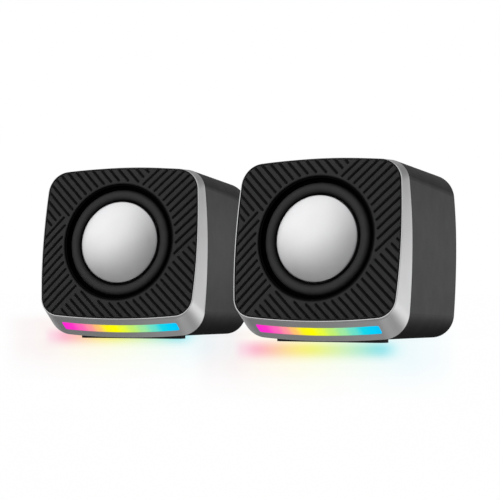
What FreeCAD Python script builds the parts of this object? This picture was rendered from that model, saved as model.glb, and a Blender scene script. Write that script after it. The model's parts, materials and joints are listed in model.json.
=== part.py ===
import FreeCAD, Part
import os, math
from FreeCAD import Vector, Placement, Rotation

os.makedirs("parts", exist_ok=True)

# A pair of small cube-like powered desktop speakers with their cables.  Millimetres,
# +X right, +Y back, +Z up.  The exported origin is the centre of the right cabinet's front
# foot, on the desk.  Cabinets and cables are modelled in the right cabinet's own frame, whose
# origin is the driver centre on the plane of the front panel's rim.  Face coordinates
# (u right, v up the panel, n out of the panel) share that origin and lean back with the panel.

# ---- driving dimensions ----
LEAN = 8.02                 # front panel leans back, degrees
DRIVER_Z = 41.1             # driver centre above the desk
DESK_Z = -DRIVER_Z
FOOT_Y = 15.0               # front foot centre behind the driver centre
LEFT_DX, LEFT_DY, LEFT_YAW = -93.25, 3.34, 7.68     # left cabinet against the right one
GAP = 0.05                  # clearance between neighbouring pieces

# Outlines: half width, top, side bulge, top bulge, top corner radius,
#           bottom, bottom bulge, bottom corner radius, upward shift
PANEL = (35.47, 34.31, 1.90, 2.10, 9.41, 30.26, 2.26, 7.90, -2.35)     # leaning, front panel
RIM = (35.97, 34.47, 1.90, 2.10, 9.85, 30.76, 2.26, 8.40, -2.35)       # leaning, bezel's edge
WINDOW = (31.0, 29.6, 1.2, 1.2, 8.0, 28.6, 1.2, 8.0, 0.0)              # leaning, bezel opening
SEAM = (37.55, 33.00, 2.29, 2.95, 8.70, 39.73, 2.30, 11.30, -0.90)     # upright, bezel to body
REAR = (35.55, 30.97, 1.97, 2.36, 10.75, 39.46, 0.95, 10.00, -1.44)    # upright, back of body
SEAM_Y, REAR_Y = 7.0, 65.0

# posts joining bezel and body: x, z, front end y
POSTS = ((-28.0, 23.5, 5.0), (28.0, 23.5, 5.0), (-29.2, -29.8, -2.0), (29.2, -29.8, -2.0))
POST_END_Y = 21.5

# feet: half length between end centres, y, end radius, top z
FEET = ((20.0, FOOT_Y, 4.0, -39.5), (4.6, 50.0, 3.4, -39.9))

# circuit board of the right cabinet, and the stand-offs behind it as x, z
BOARD_FRONT, BOARD_BACK = 50.0, 51.6
STANDOFFS = ((-20.0, 12.0), (20.0, 12.0), (-20.0, -16.0), (20.0, -16.0))

# controls and cable outlets on the back
KNOB_X, KNOB_Z, KNOB_R = -9.0, 2.0, 9.0
BUTTON_X, BUTTON_Z, BUTTON_R = 14.0, 2.0, 3.5
MAIN_X, LINK_RIGHT_X, LINK_LEFT_X, OUTLET_Z = 2.0, -17.0, 12.0, -27.0
OUTLET_R = 3.1
MAIN_R, LINK_R, TAIL_R = 1.75, 1.5, 1.25            # cable radii

FACE = Placement(Vector(0, 0, 0), Rotation(Vector(1, 0, 0), 90.0 - LEAN))
TO_ROW = Placement(Vector(0, -FOOT_Y, DRIVER_Z), Rotation())
LEFT_FROM_RIGHT = Placement(Vector(LEFT_DX, LEFT_DY, 0), Rotation(Vector(0, 0, 1), LEFT_YAW))
LEFT = TO_ROW.multiply(LEFT_FROM_RIGHT)


# ---- solids ----
def box(x0, x1, y0, y1, z0, z1):
    return Part.makeBox(x1 - x0, y1 - y0, z1 - z0, Vector(x0, y0, z0))


def cyl_y(x, z, r, y0, y1):
    return Part.makeCylinder(r, y1 - y0, Vector(x, y0, z), Vector(0, 1, 0))


def cyl_z(x, y, r, z0, z1):
    return Part.makeCylinder(r, z1 - z0, Vector(x, y, z0), Vector(0, 0, 1))


def cone_y(x, z, r0, r1, y0, y1):
    return Part.makeCone(r0, r1, y1 - y0, Vector(x, y0, z), Vector(0, 1, 0))


def sleeve_y(x, z, outer_r, inner_r, y0, y1):
    return cyl_y(x, z, outer_r, y0, y1).cut(cyl_y(x, z, inner_r, y0 - 1, y1 + 1))


def stadium(half_length, y, r, z0, z1):
    """flat pad with rounded ends"""
    ends = [cyl_z(half_length, y, r, z0, z1),
            box(-half_length, half_length, y - r, y + r, z0, z1)]
    return cyl_z(-half_length, y, r, z0, z1).fuse(ends).removeSplitter()


def moved(shape, frame):
    copy = shape.copy()
    copy.Placement = frame.multiply(copy.Placement)
    return copy


def in_face(shape):
    return moved(shape, FACE)


def four_around(shape, first=45.0):
    """four copies round the driver axis, in the face frame"""
    copies = []
    for i in range(4):
        copy = shape.copy()
        copy.rotate(Vector(0, 0, 0), Vector(0, 0, 1), first + 90.0 * i)
        copies.append(in_face(copy))
    return copies


def turned(points):
    """Solid turned about the driver axis.  A point is (r, n), or a pair of them for
    an arc's middle and end."""
    to3d = lambda p: Vector(p[0], 0, p[1])
    edges = []
    here = points[0]
    for point in points[1:]:
        if isinstance(point[0], tuple):
            middle, end = point
            edges.append(Part.Arc(to3d(here), to3d(middle), to3d(end)).toShape())
        else:
            end = point
            edges.append(Part.makeLine(to3d(here), to3d(end)))
        here = end
    edges.append(Part.makeLine(to3d(here), to3d(points[0])))
    solid = Part.Face(Part.Wire(edges)).revolve(Vector(0, 0, 0), Vector(0, 0, 1), 360)
    return in_face(solid)


def ring_profile(r0, r1, n0, n1):
    return [(r0, n0), (r1, n0), (r1, n1), (r0, n1)]


def edges_along_y(shape):
    return [e for e in shape.Edges if e.BoundBox.XLength < 0.01 and e.BoundBox.ZLength < 0.01]


# ---- outlines: rounded rectangles with bulging sides ----
def quadrant(half_w, half_h, side_r, top_r, corner_r):
    """side and corner arcs (start, middle, end) of the upper right quadrant"""
    side_c = (half_w - side_r, 0.0)
    top_c = (0.0, half_h - top_r)
    # corner centre: corner_r inside both the side arc and the top arc
    reach_side, reach_top = side_r - corner_r, top_r - corner_r
    dx, dy = top_c[0] - side_c[0], top_c[1] - side_c[1]
    dist = math.hypot(dx, dy)
    ex, ey = dx / dist, dy / dist
    along = (reach_side ** 2 - reach_top ** 2 + dist ** 2) / (2 * dist)
    off = math.sqrt(reach_side ** 2 - along ** 2)
    corner_c = (side_c[0] + ex * along - ey * off, side_c[1] + ey * along + ex * off)
    angle0 = math.atan2(corner_c[1] - side_c[1], corner_c[0] - side_c[0])
    angle1 = math.atan2(corner_c[1] - top_c[1], corner_c[0] - top_c[0])
    on = lambda c, r, angle: (c[0] + r * math.cos(angle), c[1] + r * math.sin(angle))
    side = tuple(on(side_c, side_r, angle) for angle in (0, angle0 / 2, angle0))
    corner = (side[2], on(corner_c, corner_r, (angle0 + angle1) / 2), on(top_c, top_r, angle1))
    return side, corner


def mirrored(arc, sx, sy):
    """arc in another quadrant, reversed where needed to stay counter-clockwise"""
    return tuple((sx * x, sy * y) for x, y in arc)[::sx * sy]


def outline(spec, grow=0.0):
    """ten arcs (start, middle, end), counter-clockwise from the right-hand middle"""
    half_w, top, side_bulge, top_bulge, top_corner, bottom, bottom_bulge, low_corner, shift = spec
    radius = lambda half_chord, bulge: (half_chord ** 2 + bulge ** 2) / (2 * bulge)
    half = lambda height, bulge, corner: quadrant(
        half_w + grow, height + grow, radius(height, side_bulge) + grow,
        radius(half_w, bulge) + grow, corner + grow)
    side, corner = half(top, top_bulge, top_corner)
    low_side, low_corner_arc = half(bottom, bottom_bulge, low_corner)
    left_corner = mirrored(corner, -1, 1)
    low_left_corner = mirrored(low_corner_arc, -1, -1)
    low_right_corner = mirrored(low_corner_arc, 1, -1)
    arcs = [side, corner,
            (corner[2], (0.0, top + grow), left_corner[0]),
            left_corner, mirrored(side, -1, 1),
            mirrored(low_side, -1, -1), low_left_corner,
            (low_left_corner[2], (0.0, -bottom - grow), low_right_corner[0]),
            low_right_corner, mirrored(low_side, 1, -1)]
    return [tuple((x, y + shift) for x, y in arc) for arc in arcs]


def wire(arcs, to3d):
    return Part.Wire([Part.Arc(*[to3d(*p) for p in arc]).toShape() for arc in arcs])


def upright(spec, y, grow=0.0):
    return wire(outline(spec, grow), lambda x, z: Vector(x, y, z))


def on_face(arcs, n):
    return wire(arcs, lambda u, v: FACE.multVec(Vector(u, v, n)))


def leaning(spec, n, grow=0.0):
    return on_face(outline(spec, grow), n)


def opening_circle(n):
    """driver opening, split into ten arcs that match the panel outline"""
    arcs = []
    for start, _, end in outline(PANEL):
        angle0 = math.atan2(start[1], start[0])
        angle1 = math.atan2(end[1], end[0])
        while angle1 < angle0:
            angle1 += 2 * math.pi
        arcs.append(tuple((OPENING_R * math.cos(angle), OPENING_R * math.sin(angle))
                          for angle in (angle0, (angle0 + angle1) / 2, angle1)))
    return on_face(arcs, n)


def loft(wire0, wire1):
    return Part.makeLoft([wire0, wire1], True, True)


# ---- cables ----
def line(a, b):
    return Part.makeLine(Vector(*a), Vector(*b))


def bend(points, start_dir, end_dir):
    """smooth curve through the points, leaving and arriving in the given directions"""
    curve = Part.BSplineCurve()
    curve.interpolate(Points=[Vector(*p) for p in points],
                      InitialTangent=Vector(*start_dir), FinalTangent=Vector(*end_dir))
    return curve.toShape()


def tube(edges, direction, r):
    """round cable along edges that meet tangentially, setting off in the direction"""
    start = edges[0].valueAt(edges[0].FirstParameter)
    section = Part.Face(Part.Wire([Part.Circle(start, Vector(*direction), r).toShape()]))
    return Part.Wire(edges).makePipe(section)


def tube_along(points, r):
    """round cable through the points"""
    curve = Part.BSplineCurve()
    curve.interpolate([Vector(*p) for p in points])
    return tube([curve.toShape()], tuple(curve.tangent(curve.FirstParameter)[0]), r)


# ---- body: tapers towards the back, closed there ----
WALL = 2.2
BACK_INNER_Y = REAR_Y - 2.4
REAR_FILLET = 1.5
POST_R, POST_BORE_R, POST_HOLE_R = 3.4, 2.7, 1.5
POST_SHOULDER_Y = 29.0              # screw heads bear here
STANDOFF_R, STAKE_R = 2.4, 1.2

# holes through the back: x, z, radius
RIGHT_HOLES = ((KNOB_X, KNOB_Z, 3.7), (BUTTON_X, BUTTON_Z, BUTTON_R + 0.1),
               (MAIN_X, OUTLET_Z, OUTLET_R), (LINK_RIGHT_X, OUTLET_Z, OUTLET_R))
LEFT_HOLES = ((LINK_LEFT_X, OUTLET_Z, OUTLET_R),)


def body_shell(standoffs, back_holes):
    outer = loft(upright(SEAM, SEAM_Y + GAP), upright(REAR, REAR_Y))
    rear_edges = [e for e in outer.Edges if abs(e.BoundBox.YMin - REAR_Y) < 0.01
                  and abs(e.BoundBox.YMax - REAR_Y) < 0.01]
    outer = outer.makeFillet(REAR_FILLET, rear_edges)
    inner = loft(upright(SEAM, SEAM_Y - 0.5, -WALL), upright(REAR, REAR_Y, -WALL))
    inner = inner.cut(box(-60, 60, BACK_INNER_Y, 80, -60, 60))
    add, remove = [], []
    for x, z, _ in POSTS:
        add.append(cyl_y(x, z, POST_R, POST_END_Y + GAP, REAR_Y - 1.0))
        remove += [cyl_y(x, z, POST_BORE_R, POST_SHOULDER_Y, 70.0),
                   cyl_y(x, z, POST_HOLE_R, 15.0, 30.0)]
    for x, z in standoffs:          # each ends in a pin through the board
        add += [cyl_y(x, z, STANDOFF_R, BOARD_BACK + GAP, 63.0),
                cyl_y(x, z, STAKE_R, 49.2, 52.0)]
    remove += [cyl_y(x, z, r, 60, 70) for x, z, r in back_holes]
    remove += [stadium(half_length, y, r + 0.1, -45, top + GAP)
               for half_length, y, r, top in FEET]
    return outer.cut(inner).fuse(add).cut(remove).removeSplitter()


def feet():
    return Part.makeCompound([stadium(half_length, y, r, DESK_Z, top)
                              for half_length, y, r, top in FEET])


# ---- bezel: thin at the top, a sloping chin below, with a light bar in the chin ----
BEZEL_WALL = 1.8
BEZEL_FLOOR_N = -2.4                # back of the wall behind the panel
CHIN_Y, CHIN_Z, CHIN_SLOPE = 1.28, -36.70, 34.0     # light bar centre, slope in degrees
CHIN = Placement(Vector(0, CHIN_Y, CHIN_Z), Rotation(Vector(1, 0, 0), 180.0 - CHIN_SLOPE))
BAR_HALF_W, BAR_HALF_H = 26.4, 2.55
BAR_CLEARANCE = 0.08
LED_COUNT, LED_PITCH = 6, 8.4


def bezel_front():
    return loft(leaning(RIM, GAP), upright(SEAM, SEAM_Y))


def bezel_hollow():
    hollow = loft(leaning(RIM, GAP, -BEZEL_WALL), upright(SEAM, SEAM_Y, -BEZEL_WALL))
    return hollow.cut(in_face(box(-60, 60, -60, 60, BEZEL_FLOOR_N, 10)))


def in_chin(shape):
    return moved(shape, CHIN)


def bar_block(grow=0.0):
    half_w, half_h = BAR_HALF_W + grow, BAR_HALF_H + grow
    return in_chin(box(-half_w, half_w, -half_h, half_h, -4.0, 4.0))


def seam_hoop(y0, grow0, y1, grow1):
    """band following the inside of the seam outline"""
    core = loft(upright(SEAM, 5.0, -3.5), upright(SEAM, 12.0, -3.5))
    return loft(upright(SEAM, y0, grow0), upright(SEAM, y1, grow1)).cut(core)


def bezel():
    front = bezel_front()
    pocket = loft(leaning(PANEL, -0.95, 0.06), leaning(PANEL, 2.0, 0.06))
    window = loft(leaning(WINDOW, -5.0), leaning(WINDOW, 0.0))
    shape = front.cut(bezel_hollow()).cut([pocket, window])
    # a ledge at the seam, then a lip that reaches into the body
    add = [seam_hoop(SEAM_Y - 1.2, -1.0, SEAM_Y, -1.0),
           seam_hoop(SEAM_Y - 0.5, -2.4, SEAM_Y + 3.5, -2.6)]
    # space the posts may fill
    room = loft(leaning(PANEL, -1.0), upright(SEAM, SEAM_Y, -0.5))
    room = room.fuse(box(-36, 36, 6.5, 30, -38, 31))
    for x, z, y0 in POSTS:
        v = z * math.cos(math.radians(LEAN))
        pad = in_face(Part.makeCylinder(3.5, 1.45, Vector(x, v, BEZEL_FLOOR_N)))
        add.append(pad.common(front))
        add.append(cyl_y(x, z, 2.8, y0, POST_END_Y).common(room))
    shape = shape.fuse(add)
    shape = shape.cut([cyl_y(x, z, 1.32, 8.5, 30) for x, z, _ in POSTS])
    return shape.cut(bar_block(BAR_CLEARANCE)).removeSplitter()


def light_bar():
    """strip filling the slot in the chin, following its curve"""
    return bezel_front().cut(bezel_hollow()).common(bar_block())


def led_board():
    return in_chin(box(-25.5, 25.5, -3.4, 3.4, -4.6, -3.4))


def leds():
    centres = [LED_PITCH * (i - (LED_COUNT - 1) / 2) for i in range(LED_COUNT)]
    return Part.makeCompound([in_chin(box(x - 1.4, x + 1.4, -1.1, 1.1, -3.35, -2.75))
                              for x in centres])


# ---- front panel: crowned towards the driver, grooved, with a stepped opening ----
CROWN = 1.25                        # the panel stands this proud at the opening
OPENING_R, OPENING_STEP_R, OPENING_STEP_N = 24.7, 24.2, 0.75
GROOVE_W, GROOVE_D = 1.1, 0.60
GROOVE_BORDER_R = 26.5              # plain circle round the opening
GROOVE_FAR = 80.0                   # groove ends, well past the panel's edge
SCREW_CIRCLE_R = 30.2               # driver screws


def face_peg(r, height, n):
    """cylinder at the first driver screw, before it is placed round the driver"""
    return Part.makeCylinder(r, height, Vector(SCREW_CIRCLE_R, 0, n))


def groove_lines():
    """Start and end (u, v) of straight 45 degree grooves in four pinwheel fields.
    Worked in diagonal coordinates: rise = u + v, lean = v - u."""
    # where a diagonal at this offset leaves the plain circle
    border = lambda offset: math.sqrt(max(2 * GROOVE_BORDER_R ** 2 - offset ** 2, 0.0))
    point = lambda rise, lean: ((rise - lean) / 2.0, (rise + lean) / 2.0)
    lines = []
    for i in range(17):                                  # upper left
        rise = 41.7 - 4.15 * i
        start = max(39.9 if rise < -14.0 else 18.0, border(rise))
        lines.append((point(rise, start), point(rise, GROOVE_FAR)))
    for i in range(12):                                  # upper right and right
        lean = 14.4 - 4.15 * i
        lines.append((point(border(lean), lean), point(GROOVE_FAR, lean)))
    for i in range(10):                                  # left and lower left
        lean = 36.9 - 4.144 * i
        start = min(-15.5 if lean > 34.0 else 0.0, -border(lean))
        lines.append((point(start, lean), point(-GROOVE_FAR, lean)))
    for i in range(22):                                  # bottom and lower right
        rise = 33.5 - 4.138 * i
        start = min(-34.8 if rise > 0 else -4.3, -border(rise))
        lines.append((point(rise, start), point(rise, -GROOVE_FAR)))
    return lines


def groove_prism(start, end):
    (u0, v0), (u1, v1) = start, end
    length = math.hypot(u1 - u0, v1 - v0)
    bar = Part.makeBox(length, GROOVE_W, 4.0, Vector(0, -GROOVE_W / 2, -1.5))
    ends = [Part.makeCylinder(GROOVE_W / 2, 4.0, Vector(x, 0, -1.5)) for x in (0, length)]
    prism = bar.fuse(ends).removeSplitter()
    angle = math.degrees(math.atan2(v1 - v0, u1 - u0))
    prism.Placement = Placement(Vector(u0, v0, 0), Rotation(Vector(0, 0, 1), angle))
    return in_face(prism)


def front_panel():
    slab = loft(leaning(PANEL, -0.93), leaning(PANEL, 0.0))
    crown = loft(leaning(PANEL, 0.0), opening_circle(CROWN))
    panel = slab.fuse(crown).fuse(four_around(face_peg(2.6, 1.5, -2.0)))
    near_axis = 0.0001
    opening = [turned(ring_profile(near_axis, OPENING_STEP_R, -5, 5)),
               turned(ring_profile(near_axis, OPENING_R, OPENING_STEP_N, 5))]
    panel = panel.cut(opening + four_around(face_peg(1.32, 2.6, -2.4)))
    # everything below the groove bottoms is kept
    floor = loft(leaning(PANEL, -3.0, 1.0), leaning(PANEL, -GROOVE_D, 1.0)).fuse(
        loft(leaning(PANEL, -GROOVE_D), opening_circle(CROWN - GROOVE_D)))
    prisms = [groove_prism(start, end) for start, end in groove_lines()]
    return panel.cut(Part.makeCompound(prisms).cut(floor))


# ---- driver ----
DOME_R, DOME_H, DOME_T = 17.5, 4.3, 0.5
ROLL_C, ROLL_R, ROLL_T = 20.45, 2.25, 0.45          # surround half-roll
ROLL_N = -1.6                                       # plane the roll stands on
TAG_U = 3.0                                         # solder tags either side of the middle

# turned profiles as (r, n); a pair of points is an arc's middle and end
BASKET = [(27.5, -2.05), (22.6, -2.05), (22.6, -3.4), (20.1, -10.45), (18.2, -10.45),
          (18.2, -12.9), (12.2, -12.9), (12.2, -13.95), (19.3, -13.95), (19.3, -11.6),
          (21.3, -10.9), (23.8, -3.3), (27.5, -3.3)]
SURROUND = [(17.6, ROLL_N), (18.2, ROLL_N), ((ROLL_C, ROLL_N + ROLL_R), (22.7, ROLL_N)),
            (25.6, ROLL_N), (25.6, -2.0), (22.25, -2.0), (22.25, ROLL_N),
            ((ROLL_C, ROLL_N + ROLL_R - ROLL_T), (18.65, ROLL_N)), (18.65, -2.05),
            (17.6, -2.05)]
TURNED_PARTS = {
    "driver_gasket": ring_profile(25.7, 27.3, -2.0, -1.0),
    "surround": SURROUND,
    "cone": [(18.55, -2.12), (16.55, -2.12), (10.85, -8.6), (10.3, -8.6), (10.3, -9.2),
             (10.95, -9.2), (16.85, -2.6), (18.55, -2.6)],
    "voice_coil": [(10.0, -8.0), (10.25, -8.0), (10.25, -12.9), (10.7, -12.9),
                   (10.7, -18.2), (10.25, -18.2), (10.25, -18.4), (10.0, -18.4)],
    "top_plate": ring_profile(11.0, 17.5, -17.0, -14.0),
    "magnet": [(12.5, -17.05), (18.1, -17.05), (18.5, -17.45), (18.5, -24.65),
               (18.1, -25.05), (12.5, -25.05)],
    "yoke": [(3.0, -14.2), (9.2, -14.2), (9.7, -14.7), (9.7, -25.1), (17.5, -25.1),
             (17.5, -27.6), (17.0, -28.1), (3.0, -28.1)],
}
SPIDER_RADII = (10.45, 11.3, 12.1, 12.9, 13.7, 14.5, 15.3, 16.1, 16.9, 17.7, 18.4, 19.6)
SPIDER_TOP, SPIDER_BOTTOM, SPIDER_WAVE = -10.02, -10.38, 0.45


def driver_basket():
    ear = Part.makeBox(6.2, 6.4, 1.25, Vector(24.0, -3.2, -3.3)).fuse(face_peg(3.2, 1.25, -3.3))
    frame = turned(BASKET).fuse(four_around(ear))
    side_window = Part.makeBox(13.0, 17.0, 5.4, Vector(16.0, -8.5, -9.6))
    cuts = four_around(face_peg(1.45, 3.0, -4.0)) + four_around(side_window, 0.0)
    return frame.cut(cuts).removeSplitter()


def dome():
    sphere_r = (DOME_R ** 2 + DOME_H ** 2) / (2 * DOME_H)
    centre_n = DOME_H - sphere_r
    on = lambda radius, r: (r, centre_n + math.sqrt(radius * radius - r * r))
    inner_r = sphere_r - DOME_T
    edge = on(sphere_r, DOME_R - 0.5)
    return turned([(0, DOME_H), (on(sphere_r, 9.0), edge),
                   ((DOME_R - 0.12, edge[1] - 0.22), (DOME_R, edge[1] - 0.6)),
                   (DOME_R, -2.0), (DOME_R - DOME_T, -2.0), on(inner_r, DOME_R - DOME_T),
                   (on(inner_r, 9.0), (0, DOME_H - DOME_T))])


def spider():
    """corrugated ring, flat at its inner and outer edges"""
    top, bottom = [], []
    for i, r in enumerate(SPIDER_RADII):
        flat = i < 2 or i >= len(SPIDER_RADII) - 2
        wave = 0.0 if flat else (SPIDER_WAVE if i % 2 else -SPIDER_WAVE)
        top.append((r, SPIDER_TOP + wave))
        bottom.append((r, SPIDER_BOTTOM + wave))
    return turned(top + bottom[::-1])


def driver_terminal():
    tags = [in_face(box(u - 1.0, u + 1.0, -27.0, -22.0, -14.6, -14.15))
            for u in (-TAG_U, TAG_U)]
    return Part.makeCompound([in_face(box(-5.5, 5.5, -24.6, -19.35, -14.1, -13.0))] + tags)


def driver_screws():
    """driven from behind the panel, with cross recesses"""
    head = Part.makeCone(1.9, 2.4, 0.7, Vector(SCREW_CIRCLE_R, 0, -5.0))
    head = head.fuse(face_peg(2.4, 0.95, -4.3))
    screw = face_peg(1.3, 3.5, -3.4).fuse(head)
    cross = Part.makeBox(3.0, 0.6, 0.8, Vector(SCREW_CIRCLE_R - 1.5, -0.3, -5.1)).fuse(
        Part.makeBox(0.6, 3.0, 0.8, Vector(SCREW_CIRCLE_R - 0.3, -1.5, -5.1)))
    return Part.makeCompound(four_around(screw.cut(cross).removeSplitter()))


# driver wires: lowest height, and their left and right end points in each cabinet
WIRE_R, WIRE_LOW_Z = 0.6, -30.0
RIGHT_WIRE_ENDS = ((-3.0, 49.0, -12.5), (3.0, 49.0, -12.5))     # at the board
LEFT_WIRE_ENDS = tuple((LINK_LEFT_X + dx, 57.5, OUTLET_Z + 0.5) for dx in (-2.2, 2.2))


def driver_wires(ends):
    wires = []
    for side, (x, y, z) in zip((-1, 1), ends):
        tag = FACE.multVec(Vector(side * TAG_U, -26.0, -15.4))
        wires.append(tube_along([
            (tag.x, tag.y, tag.z), (tag.x, tag.y + 3.5, tag.z - 1.5),
            (side * 3.2 + 0.2 * x, 30.0, WIRE_LOW_Z),
            (0.3 * side + 0.85 * x, 41.0, 0.55 * WIRE_LOW_Z + 0.45 * z),
            (x, y - 0.3, z)], WIRE_R))
    return Part.makeCompound(wires)


def casing_screws():
    """long screws from the back, through the body posts into the bezel posts"""
    screws = []
    for x, z, _ in POSTS:
        screw = cyl_y(x, z, 1.3, 9.0, 29.5).fuse(
            [cyl_y(x, z, 2.4, POST_SHOULDER_Y + GAP, 30.3), cone_y(x, z, 2.4, 1.9, 30.3, 31.0)])
        cross = [box(x - 1.5, x + 1.5, 30.1, 31.5, z - 0.3, z + 0.3),
                 box(x - 0.3, x + 0.3, 30.1, 31.5, z - 1.5, z + 1.5)]
        screws.append(screw.cut(cross).removeSplitter())
    return Part.makeCompound(screws)


# ---- electronics of the right cabinet ----
CAPACITORS = ((-17.5, -8.0), (-17.5, 3.5), (17.5, -8.0))        # x, z
FIN_COUNT, FIN_T = 7, 1.2
SINK_HALF_W, SINK_Z0, SINK_Z1 = 9.0, -11.0, 7.0


def amp_board():
    board = box(-25, 25, BOARD_FRONT, BOARD_BACK, -20.0, 16.0)
    board = board.cut([cyl_y(x, z, STAKE_R + 0.1, 45, 55) for x, z in STANDOFFS])
    block = box(-6, 6, 48.4, BOARD_FRONT, -8.0, 4.0)    # carries the heatsink
    return board.fuse(block).removeSplitter()


def amp_heatsink():
    sink = box(-SINK_HALF_W, SINK_HALF_W, 45.6, 48.35, SINK_Z0, SINK_Z1)
    for i in range(FIN_COUNT):
        x = -SINK_HALF_W + i * (2 * SINK_HALF_W - FIN_T) / (FIN_COUNT - 1)
        sink = sink.fuse(box(x, x + FIN_T, 38.0, 46.0, SINK_Z0, SINK_Z1))
    return sink.removeSplitter()


def capacitors():
    return Part.makeCompound([
        cyl_y(x, z, 4.0, 38.5, BOARD_FRONT - GAP).cut(sleeve_y(x, z, 5.0, 3.7, 47.6, 48.2))
        for x, z in CAPACITORS])


# ---- volume control and light button ----
SHAFT_R, SHAFT_END_Y, SHAFT_FLAT_Y, SHAFT_FLAT_DZ = 3.0, 73.0, 66.5, 1.6
KNOB_Y0, KNOB_Y1 = 66.0, 77.0
FLUTE_COUNT, FLUTE_R, FLUTE_CIRCLE_R = 30, 0.62, KNOB_R + 0.25


def volume_pot():
    pot = box(KNOB_X - 5, KNOB_X + 5, BOARD_BACK + GAP, 57.0, KNOB_Z - 5, KNOB_Z + 5)
    pot = pot.fuse(cyl_y(KNOB_X, KNOB_Z, 3.5, 56.5, 64.6))
    return pot.cut(cyl_y(KNOB_X, KNOB_Z, SHAFT_R + GAP, 52.5, 70)).removeSplitter()


def shaft_with_flat(r, y0, y1, flat_y, flat_dz):
    shaft = cyl_y(KNOB_X, KNOB_Z, r, y0, y1)
    return shaft.cut(box(KNOB_X - 4, KNOB_X + 4, flat_y, 75, KNOB_Z + flat_dz, KNOB_Z + 4))


def volume_shaft():
    return shaft_with_flat(SHAFT_R, 52.6, SHAFT_END_Y, SHAFT_FLAT_Y, SHAFT_FLAT_DZ)


def volume_knob():
    knob = cyl_y(KNOB_X, KNOB_Z, KNOB_R, KNOB_Y0, KNOB_Y1)
    knob = knob.makeChamfer(0.8, [e for e in knob.Edges if e.BoundBox.YMin > KNOB_Y1 - 0.5])
    bore = shaft_with_flat(SHAFT_R + 0.03, 60, SHAFT_END_Y + 0.1,
                           SHAFT_FLAT_Y + 0.1, SHAFT_FLAT_DZ + 0.03)
    cuts = [bore, sleeve_y(KNOB_X, KNOB_Z, 7.6, 4.6, 60, 72.0)]
    for i in range(FLUTE_COUNT):
        angle = 2 * math.pi * i / FLUTE_COUNT
        cuts.append(cyl_y(KNOB_X + FLUTE_CIRCLE_R * math.sin(angle),
                          KNOB_Z + FLUTE_CIRCLE_R * math.cos(angle), FLUTE_R, 67.6, 78))
    # radial line on the end face
    cuts.append(box(KNOB_X - 0.6, KNOB_X + 0.6, 76.4, 78, KNOB_Z + 3.5, KNOB_Z + 10))
    return knob.cut(cuts).removeSplitter()


def light_switch():
    base = box(BUTTON_X - 3, BUTTON_X + 3, BOARD_BACK + GAP, 55.2, BUTTON_Z - 3, BUTTON_Z + 3)
    return base.fuse(cyl_y(BUTTON_X, BUTTON_Z, 1.75, 55.0, 56.2)).removeSplitter()


def light_button():
    button = cyl_y(BUTTON_X, BUTTON_Z, BUTTON_R, 61.0, 66.3)
    button = button.makeFillet(0.5, [e for e in button.Edges if e.BoundBox.YMin > 66.0])
    return button.fuse([cyl_y(BUTTON_X, BUTTON_Z, 4.6, 60.6, 61.8),
                        cyl_y(BUTTON_X, BUTTON_Z, 1.5, 56.8, 61.0)]).removeSplitter()


# ---- strain relief round a cable leaving the back ----
def grommet(x, cable_r):
    z, bore = OUTLET_Z, cable_r + GAP
    shape = cyl_y(x, z, 4.1, REAR_Y + GAP, REAR_Y + 1.3).fuse([
        cyl_y(x, z, 3.0, REAR_Y - 2.6, REAR_Y + 0.5),
        cyl_y(x, z, 3.8, REAR_Y - 4.2, REAR_Y - 2.45),
        cone_y(x, z, 3.1, 2.3, REAR_Y + 1.0, REAR_Y + 10.5)])
    shape = shape.cut(cyl_y(x, z, bore, REAR_Y - 6, REAR_Y + 20))
    rings = []
    for i in range(4):
        y = REAR_Y + 2.6 + 1.9 * i
        rings.append(sleeve_y(x, z, 5.0, bore + 0.42, y, y + 0.7))
    return shape.cut(rings).removeSplitter()


# ---- main cable: down to the desk, a flat racetrack coil, then two tails ----
CABLE_Y0, CABLE_Y1 = 57.0, 77.0             # straight run through the back
LIE_Z = DESK_Z + 0.75 + MAIN_R              # cable axis in the coil
COIL_X, COIL_Y = -46.0, 124.0
COIL_HALF, COIL_R = 18.0, 17.5              # half straight, outer bend radius
STRAND_PITCH = 4.3
SPLIT_X, SPLIT_Y = COIL_X - 16.0, COIL_Y + COIL_R + 22.0
USB_X, AUDIO_X = SPLIT_X - 10.0, SPLIT_X + 9.0
PLUG_Y, PLUG_Z = SPLIT_Y + 36.0, LIE_Z + 1.9


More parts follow.
